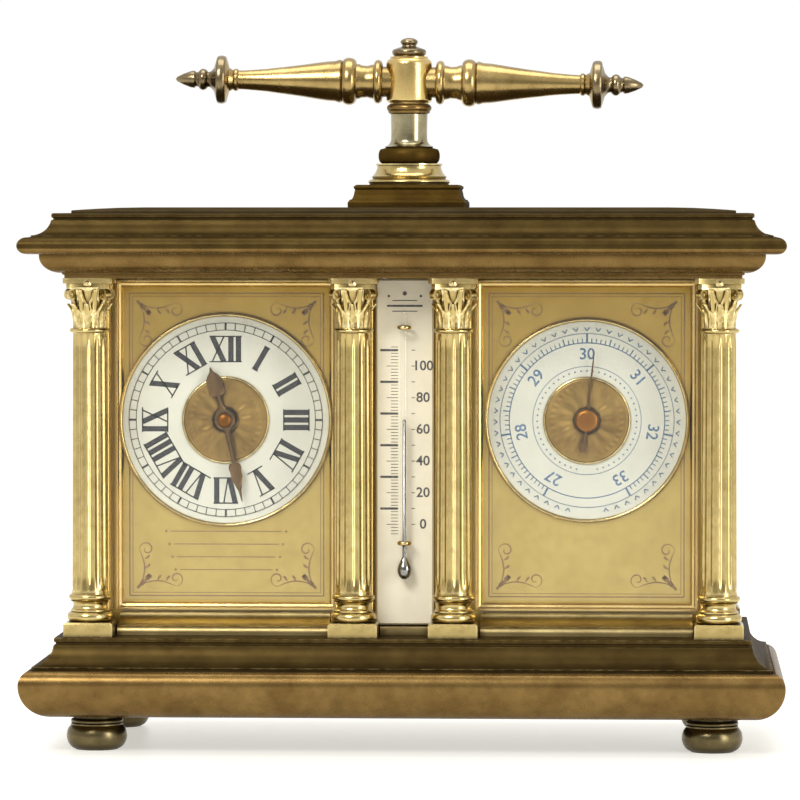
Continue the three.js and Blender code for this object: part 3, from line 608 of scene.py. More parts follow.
def build_base():
    low, _ = span("base_moulding")
    bottom, top = low[2], 25.5
    wall = 11
    nose_z = 15.4
    nose = arc(7.3, nose_z, 7.3, nose_z - bottom, 270, 180, 16) + arc(3, nose_z, 3, 3.3, 168, 96, 7)
    quirk = [(2.75, 18.6), (3.1, 18.7), (3.1, 19.1), (2.7, 19.2)]
    cavetto = arc(2.7, 24.9, 4.6, 5.6, 270, 350, 14)
    profile = (
        [(wall, top - 4), (wall, bottom)] + nose + quirk + cavetto
        + [(7.7, 24.1), (7.7, 24.5), (7.3, 24.7), (7.3, top)]
    )
    lug = 18
    lugs = []
    for sx in (-1, 1):
        for sy in (-1, 1):
            ring = [(sx * x, sy * y) for x, y in ((74, 31), (74, 31 - lug), (74 - lug, 31))]
            if sx * sy > 0:
                ring.reverse()
            lugs.append(lofted([[(x, y, z) for x, y in ring] for z in (bottom, top - 4)]))
    base = moulding("base_moulding_fine", "base_moulding", profile, AGED, "aged_brass", lugs)
    # painted shade: the base's cavetto takes the dark copy of the brass
    banded(base, (18.55, 30, UMBER_SHADE))

    plinth = 5.8  # half a column's plinth, with the gap beside it
    inner, outer = centre("column_inner_right")[0] + plinth, span("column_front_right")[1][0] - 11 - 0.3
    section = [(-14.3, top - 0.9), (-24.6, top - 0.9), (-24.6, top + 0.2)]
    section += arc(-23.6, 26.0, 1.0, 1.4, 190, 100, 8) + arc(-23.9, 30.2, 6.6, 2.7, 270, 352, 10)
    section += [(-17.0, 29.9), (-17.0, 30), (-14.3, 30)]
    sills = [
        lofted([[(x, y, z) for y, z in reversed(section)] for x in sorted((sx * inner, sx * outer))])
        for sx in (-1, 1)
    ]
    sills.append(block((-5.4, 5.4), (-23.5, -16.1), (top - 0.9, 27.4)))
    make_piece("sills", *together(*sills), SILL, "case", "aged_brass", smooth=30, bevel=0.12)


def build_cornice():
    low, high = span("cornice_moulding")
    bottom, top = low[2], high[2]
    tip_z = 113
    ovolo = arc(9.1, 110.7, 4.6, 3.8, 270, 182, 12)
    tip = [(4.5, 111.1), (2.3, 111.1)] + arc(2, tip_z, 2, 1.85, 262, 98, 16)
    quirk = [(2.5, 114.9), (2.9, 115.0), (2.9, 115.3)]
    cavetto = arc(2.8, 119.3, 4.2, 4.0, 270, 350, 14)
    profile = (
        [(22.5, top - 4), (22.5, bottom), (9.6, bottom), (9.6, 106.4), (9.1, 106.6)]
        + ovolo + tip + quirk + cavetto
        + [(7.4, 118.8), (7.4, 119.1), (7, 119.3), (7, top - 0.25), (7.25, top)]
    )
    cornice = moulding("cornice_moulding_fine", "cornice_moulding", profile, AGED, "aged_brass")
    # painted shade: the upper tip and cavetto of the cornice take the dark copy of the brass
    banded(cornice, (112.4, top - 0.3, UMBER_SHADE), (top - 0.3, top + 1, ROOF))
    low, high = span("roof_panel")
    base = low[2]
    run, rise = 15, high[2] - base - 0.35
    rim = [(0, top), (0, base + 0.1)] + arc(0.25, base + 0.1, 0.25, 0.25, 180, 90, 4)
    slope = [(run * t, base + 0.35 + rise * math.sin(math.pi / 2 * t)) for t in (0.15, 0.35, 0.65, 1.0)]
    moulding("roof_panel_fine", "roof_panel", rim + slope, ROOF, "dark_brass")


# ---------- columns ----------


def fluted_shaft(radius_low, radius_high, low, high, flutes=16, depth=0.32):
    """A tapering shaft with round-ended flutes."""
    per_flute, levels = 8, 26
    end = 2.2
    vertices, faces = [], []
    segments = flutes * per_flute
    for level in range(levels + 1):
        share = level / levels
        z = low + (high - low) * (0.5 - 0.5 * math.cos(math.pi * share))
        radius = radius_low + (radius_high - radius_low) * (z - low) / (high - low)
        reach = min(z - low, high - z) - 0.8
        run = math.sqrt(max(0.0, 1 - (1 - min(max(reach / end, 0.0), 1.0)) ** 2))
        for i in range(segments):
            across = abs((i % per_flute) / per_flute - 0.5) * 2
            hollow = math.sqrt(max(0.0, 1 - (across / 0.78) ** 2)) if across < 0.78 else 0.0
            r = radius - depth * hollow * run
            angle = 2 * math.pi * i / segments
            vertices.append((r * math.cos(angle), r * math.sin(angle), z))
    for level in range(levels):
        for i in range(segments):
            a, b = level * segments + i, level * segments + (i + 1) % segments
            faces.append((a, b, b + segments, a + segments))
    faces.append(tuple(reversed(range(segments))))
    faces.append(tuple(range(levels * segments, (levels + 1) * segments)))
    return vertices, faces


def leaf(foot, height, width, belly, curl):
    """An acanthus leaf standing on Z at radius foot: it bellies out, and its tip curls over."""
    across, along = 6, 12
    thickness = 0.28
    front, back = [], []
    for i in range(along + 1):
        v = i / along
        lobes = 1 + 0.16 * math.sin(v * math.pi * 7)
        half = width / 2 * (math.sin(math.pi * (0.16 + 0.80 * v)) ** 0.75) * lobes
        lean = belly * v * v
        over = max(0.0, (v - 0.72) / 0.28)
        radius = foot + lean + curl * math.sin(over * math.pi * 0.75)
        z = height * (v if over == 0 else 0.72 + 0.28 * math.sin(over * math.pi * 0.62))
        for k in range(across + 1):
            u = k / across * 2 - 1
            ridge = 0.34 * (1 - abs(u)) - 0.10 * math.cos(u * math.pi * 3)
            angle = u * half / radius
            outer = radius + ridge
            front.append((outer * math.cos(angle), outer * math.sin(angle), z))
            inner = radius - thickness
            back.append((inner * math.cos(angle), inner * math.sin(angle), z))
    row = across + 1
    count = len(front)
    faces = []
    for i in range(along):
        for k in range(across):
            a = i * row + k
            faces.append((a, a + 1, a + row + 1, a + row))
            faces.append((count + a, count + a + row, count + a + row + 1, count + a + 1))
    for i in range(along):
        left, right = i * row, i * row + across
        faces.append((left, left + row, count + left + row, count + left))
        faces.append((right, count + right, count + right + row, right + row))
    for k in range(across):
        foot_edge, tip_edge = k, along * row + k
        faces.append((foot_edge, count + foot_edge, count + foot_edge + 1, foot_edge + 1))
        faces.append((tip_edge, tip_edge + 1, count + tip_edge + 1, count + tip_edge))
    return front + back, faces


def volute(radius, width):
    """A scroll under a corner of the abacus: a disc with a raised rim and a raised eye on both faces."""
    disc = turned([(0, -width / 2), (radius, -width / 2)] + [(radius, width / 2), (0, width / 2)], 24)
    ribs = []
    for side in (-1, 1):
        eye = turned([(0, -0.2), (radius * 0.3, -0.2), (radius * 0.22, 0.25), (0, 0.3)], 16)
        ribs.append(moved(eye, shift(z=side * width / 2) @ (turn(180, "X") if side < 0 else Matrix())))
        rim = turned_ring([(radius * 0.72, -0.1), (radius, -0.1), (radius, 0.2), (radius * 0.72, 0.2)], 24)
        ribs.append(moved(rim, shift(z=side * width / 2) @ (turn(180, "X") if side < 0 else Matrix())))
    return together(disc, *ribs)


def abacus(half, low, high):
    """The slab on a capital: four hollowed sides, cut corners, and a step round it."""
    def outline(size, hollow, z):
        points = []
        for quarter in range(4):
            angle = math.pi / 2 * quarter
            for i in range(9):
                t = i / 8 * 2 - 1
                x = size - hollow * (1 - t * t)
                y = t * (size - 0.9)
                points.append(
                    (x * math.cos(angle) - y * math.sin(angle), x * math.sin(angle) + y * math.cos(angle), z)
                )
        return points

    middle = low + (high - low) * 0.45
    return lofted([
        outline(half - 0.7, 1.0, low), outline(half - 0.7, 1.0, middle), outline(half, 0.9, middle + 0.15),
        outline(half, 0.9, high),
    ])


def column_form(bottom, top):
    """A Corinthian column from its plinth to its abacus, round the Z axis."""
    half = 5.5
    plinth_top = bottom + 3.2
    plinth = lofted([
        rectangle(half, half, bottom), rectangle(half, half, plinth_top - 0.4),
        rectangle(half - 0.4, half - 0.4, plinth_top),
    ])
    base = turned(
        [(0, plinth_top - 0.2), (4.2, plinth_top - 0.2)]
        + arc(4.15, plinth_top + 1.15, 1.0, 1.15, 270, 450, 12)
        + [(4.35, plinth_top + 2.4), (4.35, plinth_top + 2.7)]
        + arc(4.55, plinth_top + 3.7, 0.75, 1.0, 260, 100, 10)
        + [(4.25, plinth_top + 4.8)]
        + arc(4.05, plinth_top + 5.55, 0.75, 0.7, 280, 440, 10)
        + [(4.15, plinth_top + 6.4), (4.15, plinth_top + 6.9), (0, plinth_top + 6.9)]
    )
    shaft_low, shaft_high = plinth_top + 6.8, top - 12.2
    shaft = fluted_shaft(4.0, 3.75, shaft_low, shaft_high)
    neck = turned(
        [(0, shaft_high - 0.1), (3.85, shaft_high - 0.1)]
        + arc(3.95, shaft_high + 0.5, 0.55, 0.5, 270, 450, 8)
        + [(3.4, shaft_high + 1.1)]
        + arc(5.7, shaft_high + 5.8, 2.3, 4.7, 180, 112, 10)
        + [(4.75, top - 2.6), (0, top - 2.6)]
    )
    leaves = []
    for i in range(8):
        lower = leaf(3.35, 5.6, 2.7, 0.9, 0.8)
        leaves.append(moved(lower, turn(45 * i, "Z") @ shift(z=shaft_high + 0.9)))
        upper = leaf(3.25, 8.8, 2.5, 1.3, 0.75)
        leaves.append(moved(upper, turn(45 * i + 22.5, "Z") @ shift(z=shaft_high + 0.9)))
    scrolls = []
    for i in range(4):
        scroll = moved(volute(1.25, 1.0), turn(90, "X"))
        scrolls.append(moved(scroll, turn(45 + 90 * i, "Z") @ shift(x=5.5, z=top - 3.6)))
        flower = turned([(0, -0.4), (0.8, -0.3), (0.9, 0.1), (0.3, 0.5), (0, 0.55)], 12)
        scrolls.append(moved(moved(flower, turn(90, "Y")), turn(90 * i, "Z") @ shift(x=4.35, z=top - 1.2)))
    return together(plinth, base, shaft, neck, *leaves, *scrolls, abacus(half, top - 2.4, top))


def build_columns():
    low, high = span("column_front_left")
    form = column_form(low[2] - SEAT, high[2] + SEAT)
    inner_side = {"front": 66.4, "rear": 65.3}
    # At the front the posts meet the mask, so that no light shows between them.
    inner_end = {"front": 14.1, "rear": 18}
    post_front, post_back, post_seam, post_outside = 23.6, 21.6, 69.4, 73.8
    shared = None
    names = [f"column_{end}_{side}" for end in ("front", "rear", "inner") for side in ("left", "right")]
    for node in names:
        low, high = span(node)
        _, place, side = node.split("_")
        sign = -1 if side == "left" else 1
        x = (low[0] + high[0]) / 2
        y = low[1] + 5.5 if place != "rear" else high[1] - 5.5
        piece = make_piece(f"{node}_fine", *form, GILT, "case", "gilt", smooth=38, bevel=0.0)
        if shared is None:
            shared = piece.data
        else:
            spare = piece.data
            piece.data = shared
            bpy.data.meshes.remove(spare)
        piece.location = (x * MM, y * MM, 0)
        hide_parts(node)

        facing = 1 if place == "rear" else -1
        z = (low[2] - SEAT, high[2] + SEAT)
        if place == "inner":
            posts = [block(sorted((sign * 7, sign * 15)), sorted((facing * 18, facing * post_front)), z)]
        else:
            edge = inner_side[place]
            posts = [
                block(
                    sorted((sign * edge, sign * post_seam)),
                    sorted((facing * inner_end[place], facing * post_front)), z,
                ),
                block(
                    sorted((sign * (post_seam + 0.05), sign * post_outside)),
                    sorted((facing * post_back, facing * post_front)), z,
                ),
            ]
        # painted light: the posts take the lighter gilt, which brightens the shaded gaps beside the columns
        for index, post in enumerate(posts):
            make_piece(f"{node}_post_{index + 1}", *post, SLIP, "case", "gilt", bevel=0.25)


# ---------- dials ----------


def flat_strokes(strokes, thickness=0.05):
    """Thin raised quads of (x, z) corners counter-clockwise, facing -Y with their backs at y = 0."""
    forms = []
    for stroke in strokes:
        ring = [(x, z) for x, z in stroke]
        forms.append(lofted([[(x, y, z) for x, z in ring] for y in (0, -thickness)]))
    return together(*forms)


def line(x0, z0, x1, z1, width):
    """A straight stroke between two points."""
    dx, dz = x1 - x0, z1 - z0
    length = math.hypot(dx, dz)
    nx, nz = -dz / length * width / 2, dx / length * width / 2
    return [(x0 + nx, z0 + nz), (x0 - nx, z0 - nz), (x1 - nx, z1 - nz), (x1 + nx, z1 + nz)]


def spot(x, z, radius, corners=12):
    angles = [2 * math.pi * i / corners for i in range(corners)]
    return [(x + radius * math.cos(a), z + radius * math.sin(a)) for a in angles]


def roman(text, height):
    """Strokes of a Roman numeral centred on the origin, standing up."""
    widths = {"I": 0.30, "V": 0.72, "X": 0.72}
    thick, thin, serif = 0.21 * height, 0.055 * height, 0.05 * height
    total = sum(widths[letter] for letter in text) * height
    strokes, x = [], -total / 2
    half = height / 2
    for letter in text:
        width = widths[letter] * height
        middle = x + width / 2
        inner = width / 2 - thick * 0.62
        if letter == "I":
            strokes.append(line(middle, -half, middle, half, thick))
        elif letter == "V":
            strokes.append(line(middle - inner, half, middle, -half, thick))
            strokes.append(line(middle + inner, half, middle + thick * 0.3, -half, thin))
        else:
            strokes.append(line(middle - inner, half, middle + inner, -half, thick))
            strokes.append(line(middle + inner, half, middle - inner, -half, thin))
        x += width
    for z in (-half, half):
        strokes.append(line(-total / 2 + 0.02 * height, z, total / 2 - 0.02 * height, z, serif))
    return strokes


def placed(strokes, radius, degrees, turned_with=True):
    """Moves strokes to a clock angle on a circle. turned_with turns them to read from the centre."""
    angle = math.radians(degrees)
    px, pz = radius * math.sin(angle), radius * math.cos(angle)
    c, s = (math.cos(angle), math.sin(angle)) if turned_with else (1, 0)
    return [[(px + x * c + z * s, pz - x * s + z * c) for x, z in stroke] for stroke in strokes]


def circle_line(radius, width, segments=96):
    """Strokes that make a thin circle."""
    inner, outer = radius - width / 2, radius + width / 2
    strokes = []
    for i in range(segments):
        a, b = 2 * math.pi * i / segments, 2 * math.pi * (i + 1) / segments
        strokes.append([
            (inner * math.cos(a), inner * math.sin(a)), (outer * math.cos(a), outer * math.sin(a)),
            (outer * math.cos(b), outer * math.sin(b)), (inner * math.cos(b), inner * math.sin(b)),
        ])
    return strokes


def number(text, size):
    """Strokes of a number in the built-in font, as (vertices, faces) facing -Y, centred on the origin."""
    data = bpy.data.curves.new("number", "FONT")
    data.body = text
    data.size = size
    data.align_x = data.align_y = "CENTER"
    data.resolution_u = 3
    data.extrude = 0.02
    data.offset = 0.05
    made = bpy.data.objects.new("number", data)
    bpy.context.scene.collection.objects.link(made)
    bpy.context.view_layer.update()
    mesh = bpy.data.meshes.new_from_object(made.evaluated_get(bpy.context.evaluated_depsgraph_get()))
    form = [tuple(v.co) for v in mesh.vertices], [tuple(p.vertices) for p in mesh.polygons]
    bpy.data.objects.remove(made)
    bpy.data.curves.remove(data)
    bpy.data.meshes.remove(mesh)
    return moved(form, FACING_FRONT)


def ring_piece(name, node, material, slot, bow=0.25):
    """A dial ring with a softly bowed front, standing in its CAD node's box."""
    low, high = span(node)
    outer, inner = (high[0] - low[0]) / 2, 8.3
    depth = high[1] - low[1]
    face = [
        (inner + (outer - inner) * t, depth - bow * (2 * t - 1) ** 2) for t in (i / 12 for i in range(13))
    ]
    profile = [(inner, 0)] + face + [(outer, 0)]
    profile.reverse()
    x, _, z = centre(node)
    form = moved(turned_ring(profile), shift(x, high[1], z) @ FACING_FRONT)
    piece = make_piece(name, *form, material, "case", slot, smooth=50)
    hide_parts(node)
    return x, low[1], z


def bezel(name, x, y, z, inner, outer, rise):
    """A thin gilt ring with a rounded front."""
    middle, half = (inner + outer) / 2, (outer - inner) / 2
    profile = arc(middle, 0, half, rise, 0, 180, 8)
    form = moved(turned_ring(profile), shift(x, y, z) @ FACING_FRONT)
    make_piece(name, *form, GILT, "case", "gilt")


def dial_print(name, strokes, x, y, z, material):
    form = moved(flat_strokes(strokes), shift(x, y, z))
    make_piece(name, *form, material, "case", "enamel", smooth=20)


def rosette(name, node):
    """The engraved gilt disc in the middle of a dial: petals, beads and rings in low relief."""
    low, high = span(node)
    x, _, z = centre(node)
    radius, hole = (high[0] - low[0]) / 2, 2.9
    depth = high[1] - low[1]
    rings, around = 26, 144
    vertices, faces = [], []
    for i in range(rings + 1):
        r = hole + (radius - hole) * i / rings
        for k in range(around):
            a = 2 * math.pi * k / around
            petals = math.cos(a * 12) * math.exp(-((r - 5.0) / 1.5) ** 2)
            beads = math.cos(a * 36) * math.exp(-((r - 7.9) / 0.35) ** 2)
            lines = math.cos(r * 9) * 0.35
            lift = 0.10 * petals + 0.10 * beads + 0.05 * lines
            y = -depth * 0.72 - lift if 0 < i < rings else -depth * 0.45
            vertices.append((r * math.cos(a), y, r * math.sin(a)))
    count = len(vertices)
    vertices += [(r * math.cos(2 * math.pi * k / around), 0, r * math.sin(2 * math.pi * k / around))
                 for r in (hole, radius) for k in range(around)]
    for i in range(rings):
        for k in range(around):
            a, b = i * around + k, i * around + (k + 1) % around
            faces.append((a, b, b + around, a + around))
    for k in range(around):
        j = (k + 1) % around
        inner, outer = count, count + around
        edge = rings * around
        faces.append((k, inner + k, inner + j, j))
        faces.append((edge + k, edge + j, outer + j, outer + k))
        faces.append((inner + k, outer + k, outer + j, inner + j))
    form = moved((vertices, faces), shift(x, high[1], z))
    piece = make_piece(name, *form, ENGRAVED, "case", "satin_gilt", smooth=60)
    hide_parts(node)


def build_clock_dial():
    x, face, z = ring_piece("clock_ring_fine", "clock_ring", ENAMEL, "enamel")
    bezel("clock_bezel", x, face + 0.4, z, 23.3, 24.3, 0.8)
    bezel("clock_inner_bezel", x, face, z, 9.2, 9.9, 0.4)
    numerals = ["XII", "I", "II", "III", "IV", "V", "VI", "VII", "VIII", "IX", "X", "XI"]
    strokes = []
    for hour, text in enumerate(numerals):
        strokes += placed(roman(text, 5.7), 16.0, 30 * hour)
    dial_print("clock_numerals", strokes, x, face + 0.02, z, BLACK_INK)
    track = circle_line(20.3, 0.13) + circle_line(21.9, 0.13)
    for minute in range(60):
        wide = 0.42 if minute % 5 == 0 else 0.14
        track += placed([line(0, -0.8, 0, 0.8, wide)], 21.1, 6 * minute)
    dial_print("clock_minute_track", track, x, face + 0.03, z, BLACK_INK)
    rosette("clock_centre_fine", "clock_dial_centre")


def build_barometer_dial():
    x, face, z = ring_piece("barometer_ring_fine", "barometer_ring", COOL_ENAMEL, "enamel")
    bezel("barometer_bezel", x, face + 0.4, z, 22.2, 23.2, 0.8)
    bezel("barometer_inner_bezel", x, face, z, 9.2, 9.9, 0.4)
    scale = circle_line(17.5, 0.22) + circle_line(19.6, 0.12) + circle_line(12.2, 0.12)
    steps = 90
    for i in range(steps + 1):
        tall, wide = (2.1, 0.42) if i % 15 == 0 else ((1.5, 0.26) if i % 5 == 0 else (1.0, 0.20))
        scale += placed([line(0, 0, 0, tall, wide)], 17.5, -150 + 300 * i / steps)
    for i in range(49):
        angle = -168 + 7 * i
        scale += placed([line(-0.55, 0.35, 0.0, -0.4, 0.2), line(0.0, -0.4, 0.55, 0.35, 0.2)], 20.6, angle)
        scale += placed([spot(0, 0, 0.2, 8)], 11.2, angle)
    dial_print("barometer_scale", scale, x, face + 0.03, z, BLUE_INK)
    for index, text in enumerate(("27", "28", "29", "30", "31", "32", "33")):
        angle = -150 + 50 * index
        place = shift(x, face, z) @ turn(angle, "Y") @ shift(z=14.9)
        make_piece(
            f"barometer_number_{text}", *moved(number(text, 3.6), place), BLUE_INK, "case", "enamel",
            smooth=20
        )
    rosette("barometer_centre_fine", "barometer_dial_centre")


def build_thermometer():
    low, high = span("thermometer_plate")
    face = low[1]
    plate = lofted([
        [(low[0], high[1], z0), (high[0], high[1], z0), (high[0], high[1], z1), (low[0], high[1], z1)]
        for z0, z1 in ((low[2], high[2]),)
    ] + [
        [
            (low[0], face + 0.35, low[2]), (high[0], face + 0.35, low[2]), (high[0], face + 0.35, high[2]),
            (low[0], face + 0.35, high[2])
        ],
        [(low[0] + 0.35, face, low[2] + 0.35), (high[0] - 0.35, face, low[2] + 0.35),
         (high[0] - 0.35, face, high[2] - 0.35), (low[0] + 0.35, face, high[2] - 0.35)],
    ])
    piece = make_piece("thermometer_plate_fine", *plate, PORCELAIN, "case", "porcelain", smooth=20)
    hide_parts("thermometer_plate")

    first, step = 50.3, 7.12
    marks = []
    for i in range(-3, 57):
        z = first + step * i / 10
        if not 47.5 < z < 93:
            continue
        long = 4.0 if i % 10 == 5 else (2.6 if i % 5 == 0 else 1.6)
        marks.append(line(-1.5, z, -1.5 - long, z, 0.5 if i % 10 == 5 else 0.14))
        if i % 5 == 0:
            marks.append(line(1.5, z, 2.3, z, 0.16))
    marks += [
        line(-4, 99.4, 4, 99.4, 0.45), line(-2.8, 100.6, 2.8, 100.6, 0.2), line(-2.8, 98.2, 2.8, 98.2, 0.2)
    ]
    marks += [spot(0, 102.2, 0.5), spot(-3.6, 101.6, 0.3), spot(3.6, 101.6, 0.3)]
    form = moved(flat_strokes(marks), shift(y=face + 0.01))
    make_piece("thermometer_scale", *form, GREY_INK, "case", "porcelain", smooth=20)
    for i in range(6):
        text = str(20 * i)
        place = shift(4.1, face - 0.01, first + step * i)
        make_piece(
            f"thermometer_number_{text}", *moved(number(text, 3.1), place), GREY_INK, "case", "porcelain",
            smooth=20
        )

    low, high = span("thermometer_tube")
    cx, cy = (low[0] + high[0]) / 2, (low[1] + high[1]) / 2
    bulb = low[2] + 2.6
    outside = turned(
        [(0, low[2])] + arc(0, bulb, 1.9, 2.6, 285, 400, 14)
        + [(0.95, bulb + 3.2), (0.9, bulb + 4.5), (0.9, high[2] - 0.9)]
        + arc(0, high[2] - 0.9, 0.9, 0.9, 15, 80, 6) + [(0, high[2])], 32,
    )
    glass = make_piece(
        "thermometer_tube_fine", *moved(outside, shift(cx, cy)), GLASS, "case", "glass", smooth=60
    )
    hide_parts("thermometer_tube")
    level = first + step * 3.3
    filling = turned(
        [(0, low[2] + 0.4)] + arc(0, bulb, 1.55, 2.2, 285, 405, 12)
        + [(0.42, bulb + 3.0), (0.38, level), (0, level + 0.3)], 24,
    )
    make_piece("thermometer_filling", *moved(filling, shift(cx, cy)), MERCURY, "case", "glass", smooth=60)
    for index, z in enumerate((94.6, 46.2)):
        clip = turned_ring(arc(1.35, 0, 0.28, 0.45, 0, 330, 11), 32)
        make_piece(f"thermometer_clip_{index + 1}", *moved(clip, shift(cx, cy, z)), GILT, "case", "gilt")
        arm = block((-0.3, 0.3), (cy + 1.1, face + 0.2), (z - 0.4, z + 0.4))
        make_piece(f"thermometer_clip_arm_{index + 1}", *arm, GILT, "case", "gilt", bevel=0.1)


def frame_lines(x, z, inset, width):
    """Strokes of a rectangular line, inset millimetres from the edges x and z."""
    x0, x1, z0, z1 = x[0] + inset, x[1] - inset, z[0] + inset, z[1] - inset
    return [
        line(x0, z0, x1, z0, width), line(x1, z0, x1, z1, width), line(x1, z1, x0, z1, width),
        line(x0, z1, x0, z0, width),
    ]


def tapering(points, width):
    """Strokes along a path, widest in its middle."""
    steps = len(points) - 1
    return [
        line(*a, *b, width * (0.3 + math.sin(math.pi * (k + 0.5) / steps)))
        for k, (a, b) in enumerate(zip(points, points[1:]))
    ]


def scroll(mirror):
    """A leafy scroll that starts in a corner and runs along one edge, in millimetres from the corner."""
    stem = [(1.2 + 8.2 * t, 1.3 + 1.1 * math.sin(math.pi * t) - 0.3 * t) for t in (i / 14 for i in range(15))]
    spiral = []
    for i in range(20):
        t = i / 19
        angle = math.radians(-90 + 400 * t)
        radius = 1.75 * (1 - 0.8 * t)
        spiral.append((9.4 + radius * math.cos(angle), 2.75 + radius * math.sin(angle)))
    leaves = []
    for start, lift in ((3.0, 1.5), (5.2, 1.7), (7.2, 1.5)):
        leaves += tapering(
            [(start + 0.9 * t, 2.3 + lift * t * (1.3 - 0.6 * t)) for t in (0, 0.25, 0.5, 0.75, 1)], 0.42
        )
    strokes = tapering(stem, 0.26) + tapering(spiral, 0.26) + leaves
    return [[(z, x) for x, z in reversed(stroke)] for stroke in strokes] if mirror else strokes


def spandrel(x, z, sx, sz):
    """Two scrolls engraved from a corner of the frame at x, z into the panel."""
    bud = tapering([(0.6, 0.6), (1.4, 1.4), (2.4, 2.4), (3.6, 3.6)], 0.75)
    corner = scroll(False) + scroll(True) + bud
    moved_strokes = [[(x + sx * u, z + sz * v) for u, v in stroke] for stroke in corner]
    return [stroke[::-1] for stroke in moved_strokes] if sx * sz < 0 else moved_strokes


def build_panels():
    """A moulded slip round each bay, and the engraving on the masks."""
    for side in ("left", "right"):
        glass_low, glass_high = span(f"glass_front_{side}")
        x, z = (glass_low[0] + 0.3, glass_high[0] - 0.3), (glass_low[2] + 0.2, glass_high[2] - 0.2)
        face = span(f"mask_{side}")[0][1]
        section = [(0, face - 0.05), (0, face - 1.6)] + [
            (inset, face - 0.05 - depth) for inset,
            depth in ((0.5, 1.6), (0.8, 1.1), (1.3, 0.9), (1.7, 0.35), (1.8, 0))
        ]
        rings = []
        for inset, y in section:
            x0, x1, z0, z1 = x[0] + inset, x[1] - inset, z[0] + inset, z[1] - inset
            rings.append([(x0, y, z0), (x1, y, z0), (x1, y, z1), (x0, y, z1)])
        make_piece(f"slip_{side}", *framed(rings), SLIP, "case", "gilt", smooth=30, bevel=0.06)

        dial = centre("clock_ring" if side == "left" else "barometer_ring")
        engraving = frame_lines(x, z, 3.1, 0.3) + frame_lines(x, z, 3.8, 0.14)
        for sx, edge_x in ((1, x[0]), (-1, x[1])):
            for sz, edge_z in ((1, z[0]), (-1, z[1])):
                engraving += spandrel(edge_x + sx * 4.2, edge_z + sz * 4.2, sx, sz)
        if side == "left":
            for row in range(4):
                half = 12.6 - 0.7 * row
                height = 48.2 - 2.9 * row
                engraving += [line(dial[0] - half, height, dial[0] + half, height, 0.22)]
                engraving += [
                    spot(dial[0] - half - 1.0, height, 0.28, 10),
                    spot(dial[0] + half + 1.0, height, 0.28, 10)
                ]
        form = moved(flat_strokes(engraving, 0.03), shift(y=face - 0.005))
        make_piece(f"mask_engraving_{side}", *form, WAX, "case", "satin_gilt", smooth=20)


# ---------- hands ----------


def flat_hand(outline, thickness):
    """A hand cut from sheet with a raised middle line, from the right half of its outline of (x, z)."""
    left = [(-x, z) for x, z in reversed(outline) if x > 1e-6]
    ring = outline + left
    back = [(x, 0, z) for x, z in ring]
    rim = [(x, -thickness * 0.55, z) for x, z in ring]
    crest = [(x * 0.55, -thickness, z) for x, z in ring]
    return lofted([back, rim, crest])


def build_hands():
    x, _, z = centre("centre_arbor")
    low, high = span("hour_hand")
    hour_outline = (
        [(0.0, -2.2)] + arc(0, 0, 2.3, 2.3, 300, 420, 10)[1:]
        + [(0.55, 3.2), (0.5, 5.4)] + arc(0.9, 7.0, 0.95, 1.3, 250, 400, 8)
        + [(1.75, 8.3), (1.9, 9.3), (1.3, 10.4), (0.45, 11.3), (0.12, 12.4), (0.0, 12.5)]
    )
    hour = moved(flat_hand(hour_outline, 0.5), shift(x, low[1] + 0.5, z) @ turn(-16, "Y"))
    pipe = moved(
        turned_ring([(1.4, 0), (2.2, 0), (2.2, 6.8), (1.4, 6.8)], 32), shift(x, high[1], z) @ FACING_FRONT
    )
    piece = make_piece(
        "hour_hand_fine", *together(hour, pipe), BROWNED, "hour_work", "blued_steel", smooth=30
    )
    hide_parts("hour_hand")

    low, high = span("minute_hand")
    minute_outline = (
        [(0.0, -1.9)] + arc(0, 0, 1.9, 1.9, 300, 420, 10)[1:]
        + [(0.48, 3.0), (0.42, 9.6)] + arc(0.75, 11.0, 0.7, 1.1, 250, 400, 8)
        + [(1.25, 12.3), (1.35, 13.2), (0.9, 14.6), (0.35, 16.2), (0.12, 18.6), (0.0, 18.9)]
    )
    minute = moved(flat_hand(minute_outline, 0.5), shift(x, low[1] + 0.5, z) @ turn(168, "Y"))
    piece = make_piece("minute_hand_fine", *minute, BROWNED, "minute_work", "blued_steel", smooth=30)
    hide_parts("minute_hand")
    front = span("centre_arbor")[0][1]
    reach = low[1] - front + 0.25
    nut = turned(
        [(0, 0), (1.75, 0), (1.75, 0.25), (1.62, 0.4), (1.62, reach - 0.1)]
        + arc(0, reach - 0.1, 1.62, 0.75, 12, 80, 7) + [(0, reach + 0.65)], 32,
    )
    make_piece("hand_nut", *moved(nut, shift(x, low[1], z) @ FACING_FRONT), AMBER, "minute_work", "gilt")

    x, _, z = centre("barometer_adjuster")
    low, high = span("barometer_pointer")
    pointer_outline = (
        [(0.0, -6.9), (0.7, -7.2), (1.1, -6.2), (0.55, -4.2), (0.35, -2.4)] + arc(0, 0, 1.7, 1.7, 300, 420, 8)
        + [(0.28, 3.0), (0.22, 11.5), (0.08, 15.6), (0.0, 15.9)]
    )
    pointer = moved(flat_hand(pointer_outline, 0.5), shift(x, low[1] + 1.2, z) @ turn(6, "Y"))
    arbor = moved(turned([(0, 0), (0.8, 0), (0.8, 8.8), (0, 8.8)], 24), shift(x, high[1], z) @ FACING_FRONT)
    form = together(pointer, arbor)
    piece = make_piece("barometer_pointer_fine", *form, BROWNED, "pointer", "blued_steel", smooth=30)
    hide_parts("barometer_pointer")
    boss = turned([(0, 0), (2.6, 0), (2.6, 0.5)] + arc(1.6, 0.5, 1.0, 0.6, 0, 90, 6) + [(0, 1.15)], 32)
    make_piece(
        "barometer_boss", *moved(boss, shift(x, low[1] + 1.1, z) @ FACING_FRONT), AMBER, "pointer",
        "satin_gilt",
    )


# ---------- handle ----------


